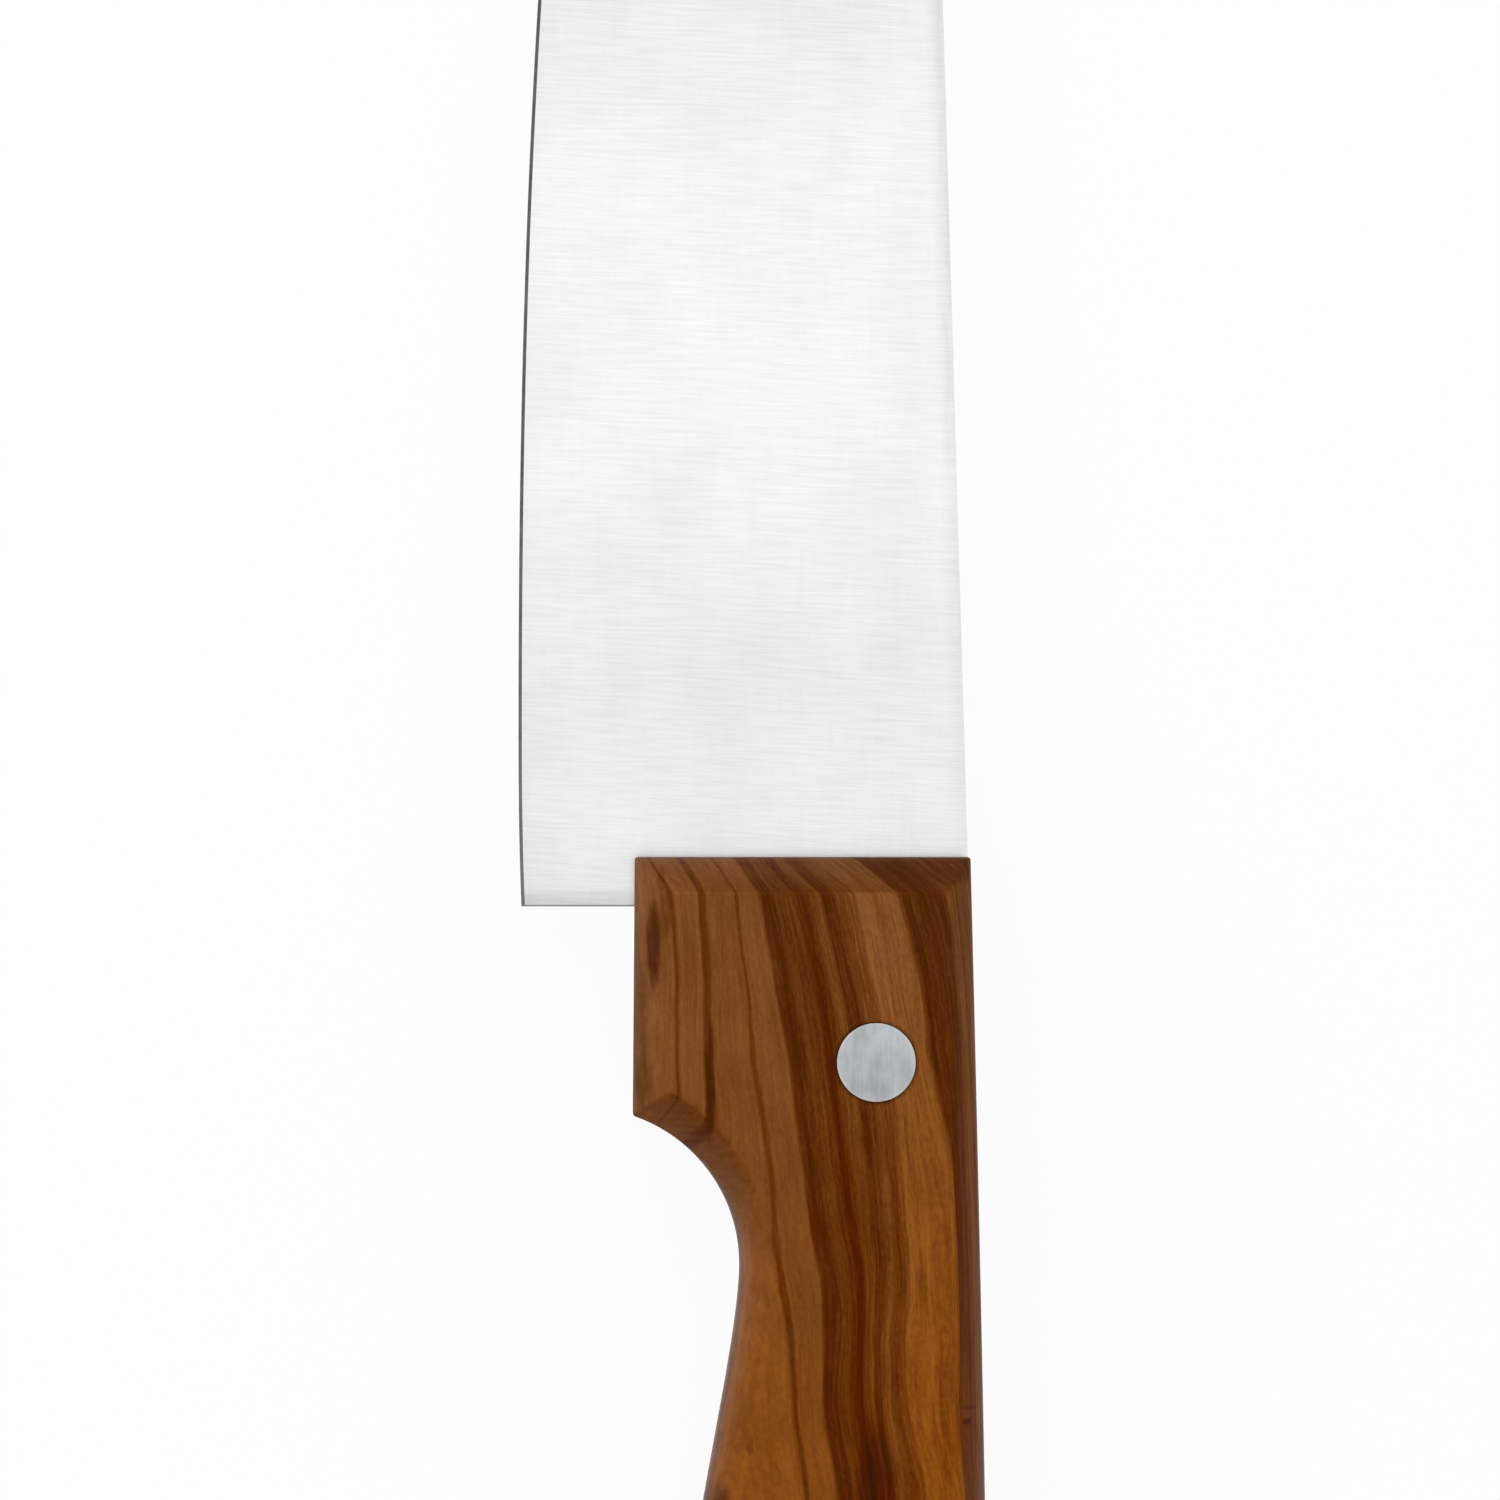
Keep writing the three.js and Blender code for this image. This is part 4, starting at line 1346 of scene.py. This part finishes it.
def pale_floor(stage):
    """Pale paint that takes the knife's shadow, mostly shown as plain white."""
    material, tree, shader, _ = new_material("pale_floor")
    shader.inputs["Base Color"].default_value = (*stage.floor_paint, 1.0)
    shader.inputs["Roughness"].default_value = 0.9
    shader.inputs["Specular IOR Level"].default_value = 0.0
    glow = tree.nodes.new("ShaderNodeEmission")
    mix = tree.nodes.new("ShaderNodeMixShader")
    plug(tree, mix.inputs[0], seen_white(tree) * stage.floor_glow)
    plug(tree, mix.inputs[1], shader.outputs[0])
    plug(tree, mix.inputs[2], glow.outputs[0])
    plug(tree, tree.nodes["Material Output"].inputs["Surface"], mix.outputs[0])
    return material


def white_room(stage):
    """Even light from all round, seen as white."""
    world = bpy.data.worlds.new("white_room")
    world.use_nodes = True
    tree = world.node_tree
    background = tree.nodes["Background"]
    background.inputs["Color"].default_value = (1.0, 1.0, 1.0, 1.0)
    strength = seen_white(tree) * (1.0 - stage.ambient) + stage.ambient
    plug(tree, background.inputs["Strength"], strength)
    return world


class SANTOKU_OT_stage(bpy.types.Operator):
    """Build the pale floor, the soft light and the camera"""

    bl_idname = "santoku.stage"
    bl_label = "Stage"

    def execute(self, context):
        scene = context.scene
        stage = scene.santoku_stage
        scene.view_settings.view_transform = "Standard"
        scene.world = white_room(stage)
        self.lay_floor(stage)
        self.hang_light(stage)
        self.set_camera(scene, stage)
        return {"FINISHED"}

    def lay_floor(self, stage):
        """The pale square floor that the knife lies on."""
        half = stage.floor_size / 2
        mesh = bpy.data.meshes.new("pale_floor")
        corners = [(-half, -half, 0), (half, -half, 0), (half, half, 0), (-half, half, 0)]
        mesh.from_pydata(corners, [], [(0, 1, 2, 3)])
        floor = new_piece("pale_floor", mesh)
        dress(floor, pale_floor(stage))

    def hang_light(self, stage):
        """One large soft lamp, which neither the camera nor a reflection shows."""
        light = bpy.data.lights.new("soft_key", "AREA")
        light.energy = stage.key_power
        light.size = stage.key_size
        lamp = bpy.data.objects.new("soft_key", light)
        lamp.location = KEY_PLACE
        lamp.rotation_euler = KEY_PLACE.to_track_quat("Z", "Y").to_euler()
        lamp.visible_camera = False
        lamp.visible_glossy = False
        bpy.context.scene.collection.objects.link(lamp)

    def set_camera(self, scene, stage):
        """A long lens straight above the picture's middle."""
        lens = bpy.data.cameras.new("picture")
        lens.lens = stage.lens
        distance = stage.picture_width * lens.lens / lens.sensor_width
        middle = Vector((-stage.picture_below, stage.picture_ahead, stage.picture_level + distance))
        camera = bpy.data.objects.new("picture", lens)
        camera.location = datum() + middle
        scene.collection.objects.link(camera)
        scene.camera = camera


class SANTOKU_PT_maker(bpy.types.Panel):
    """Lists the knife's pieces and their sizes"""

    bl_idname = "SANTOKU_PT_maker"
    bl_label = "Santoku Knife"
    bl_space_type = "VIEW_3D"
    bl_region_type = "UI"
    bl_category = "Santoku"

    def draw(self, context):
        for operator, settings in PIECES:
            column = self.layout.column(align=True)
            column.operator(operator.bl_idname)
            group = getattr(context.scene, settings)
            for label in group.__annotations__:
                column.prop(group, label)


SETTINGS = {
    "santoku_blade": SantokuBladeSettings,
    "santoku_handle": SantokuHandleSettings,
    "santoku_rivets": SantokuRivetSettings,
    "santoku_stage": SantokuStageSettings,
}
PIECES = (
    (SANTOKU_OT_blade, "santoku_blade"),
    (SANTOKU_OT_scales, "santoku_handle"),
    (SANTOKU_OT_rivets, "santoku_rivets"),
    (SANTOKU_OT_stage, "santoku_stage"),
)


def register():
    for name, group in SETTINGS.items():
        bpy.utils.register_class(group)
        setattr(bpy.types.Scene, name, PointerProperty(type=group))
    for operator, _ in PIECES:
        bpy.utils.register_class(operator)
    bpy.utils.register_class(SANTOKU_PT_maker)


def unregister():
    bpy.utils.unregister_class(SANTOKU_PT_maker)
    for operator, _ in reversed(PIECES):
        bpy.utils.unregister_class(operator)
    for name, group in reversed(SETTINGS.items()):
        delattr(bpy.types.Scene, name)
        bpy.utils.unregister_class(group)


def main():
    """Builds the knife and its stage."""
    register()
    bpy.ops.santoku.blade()
    bpy.ops.santoku.scales()
    bpy.ops.santoku.rivets()
    bpy.ops.santoku.stage()


if __name__ == "__main__":
    main()
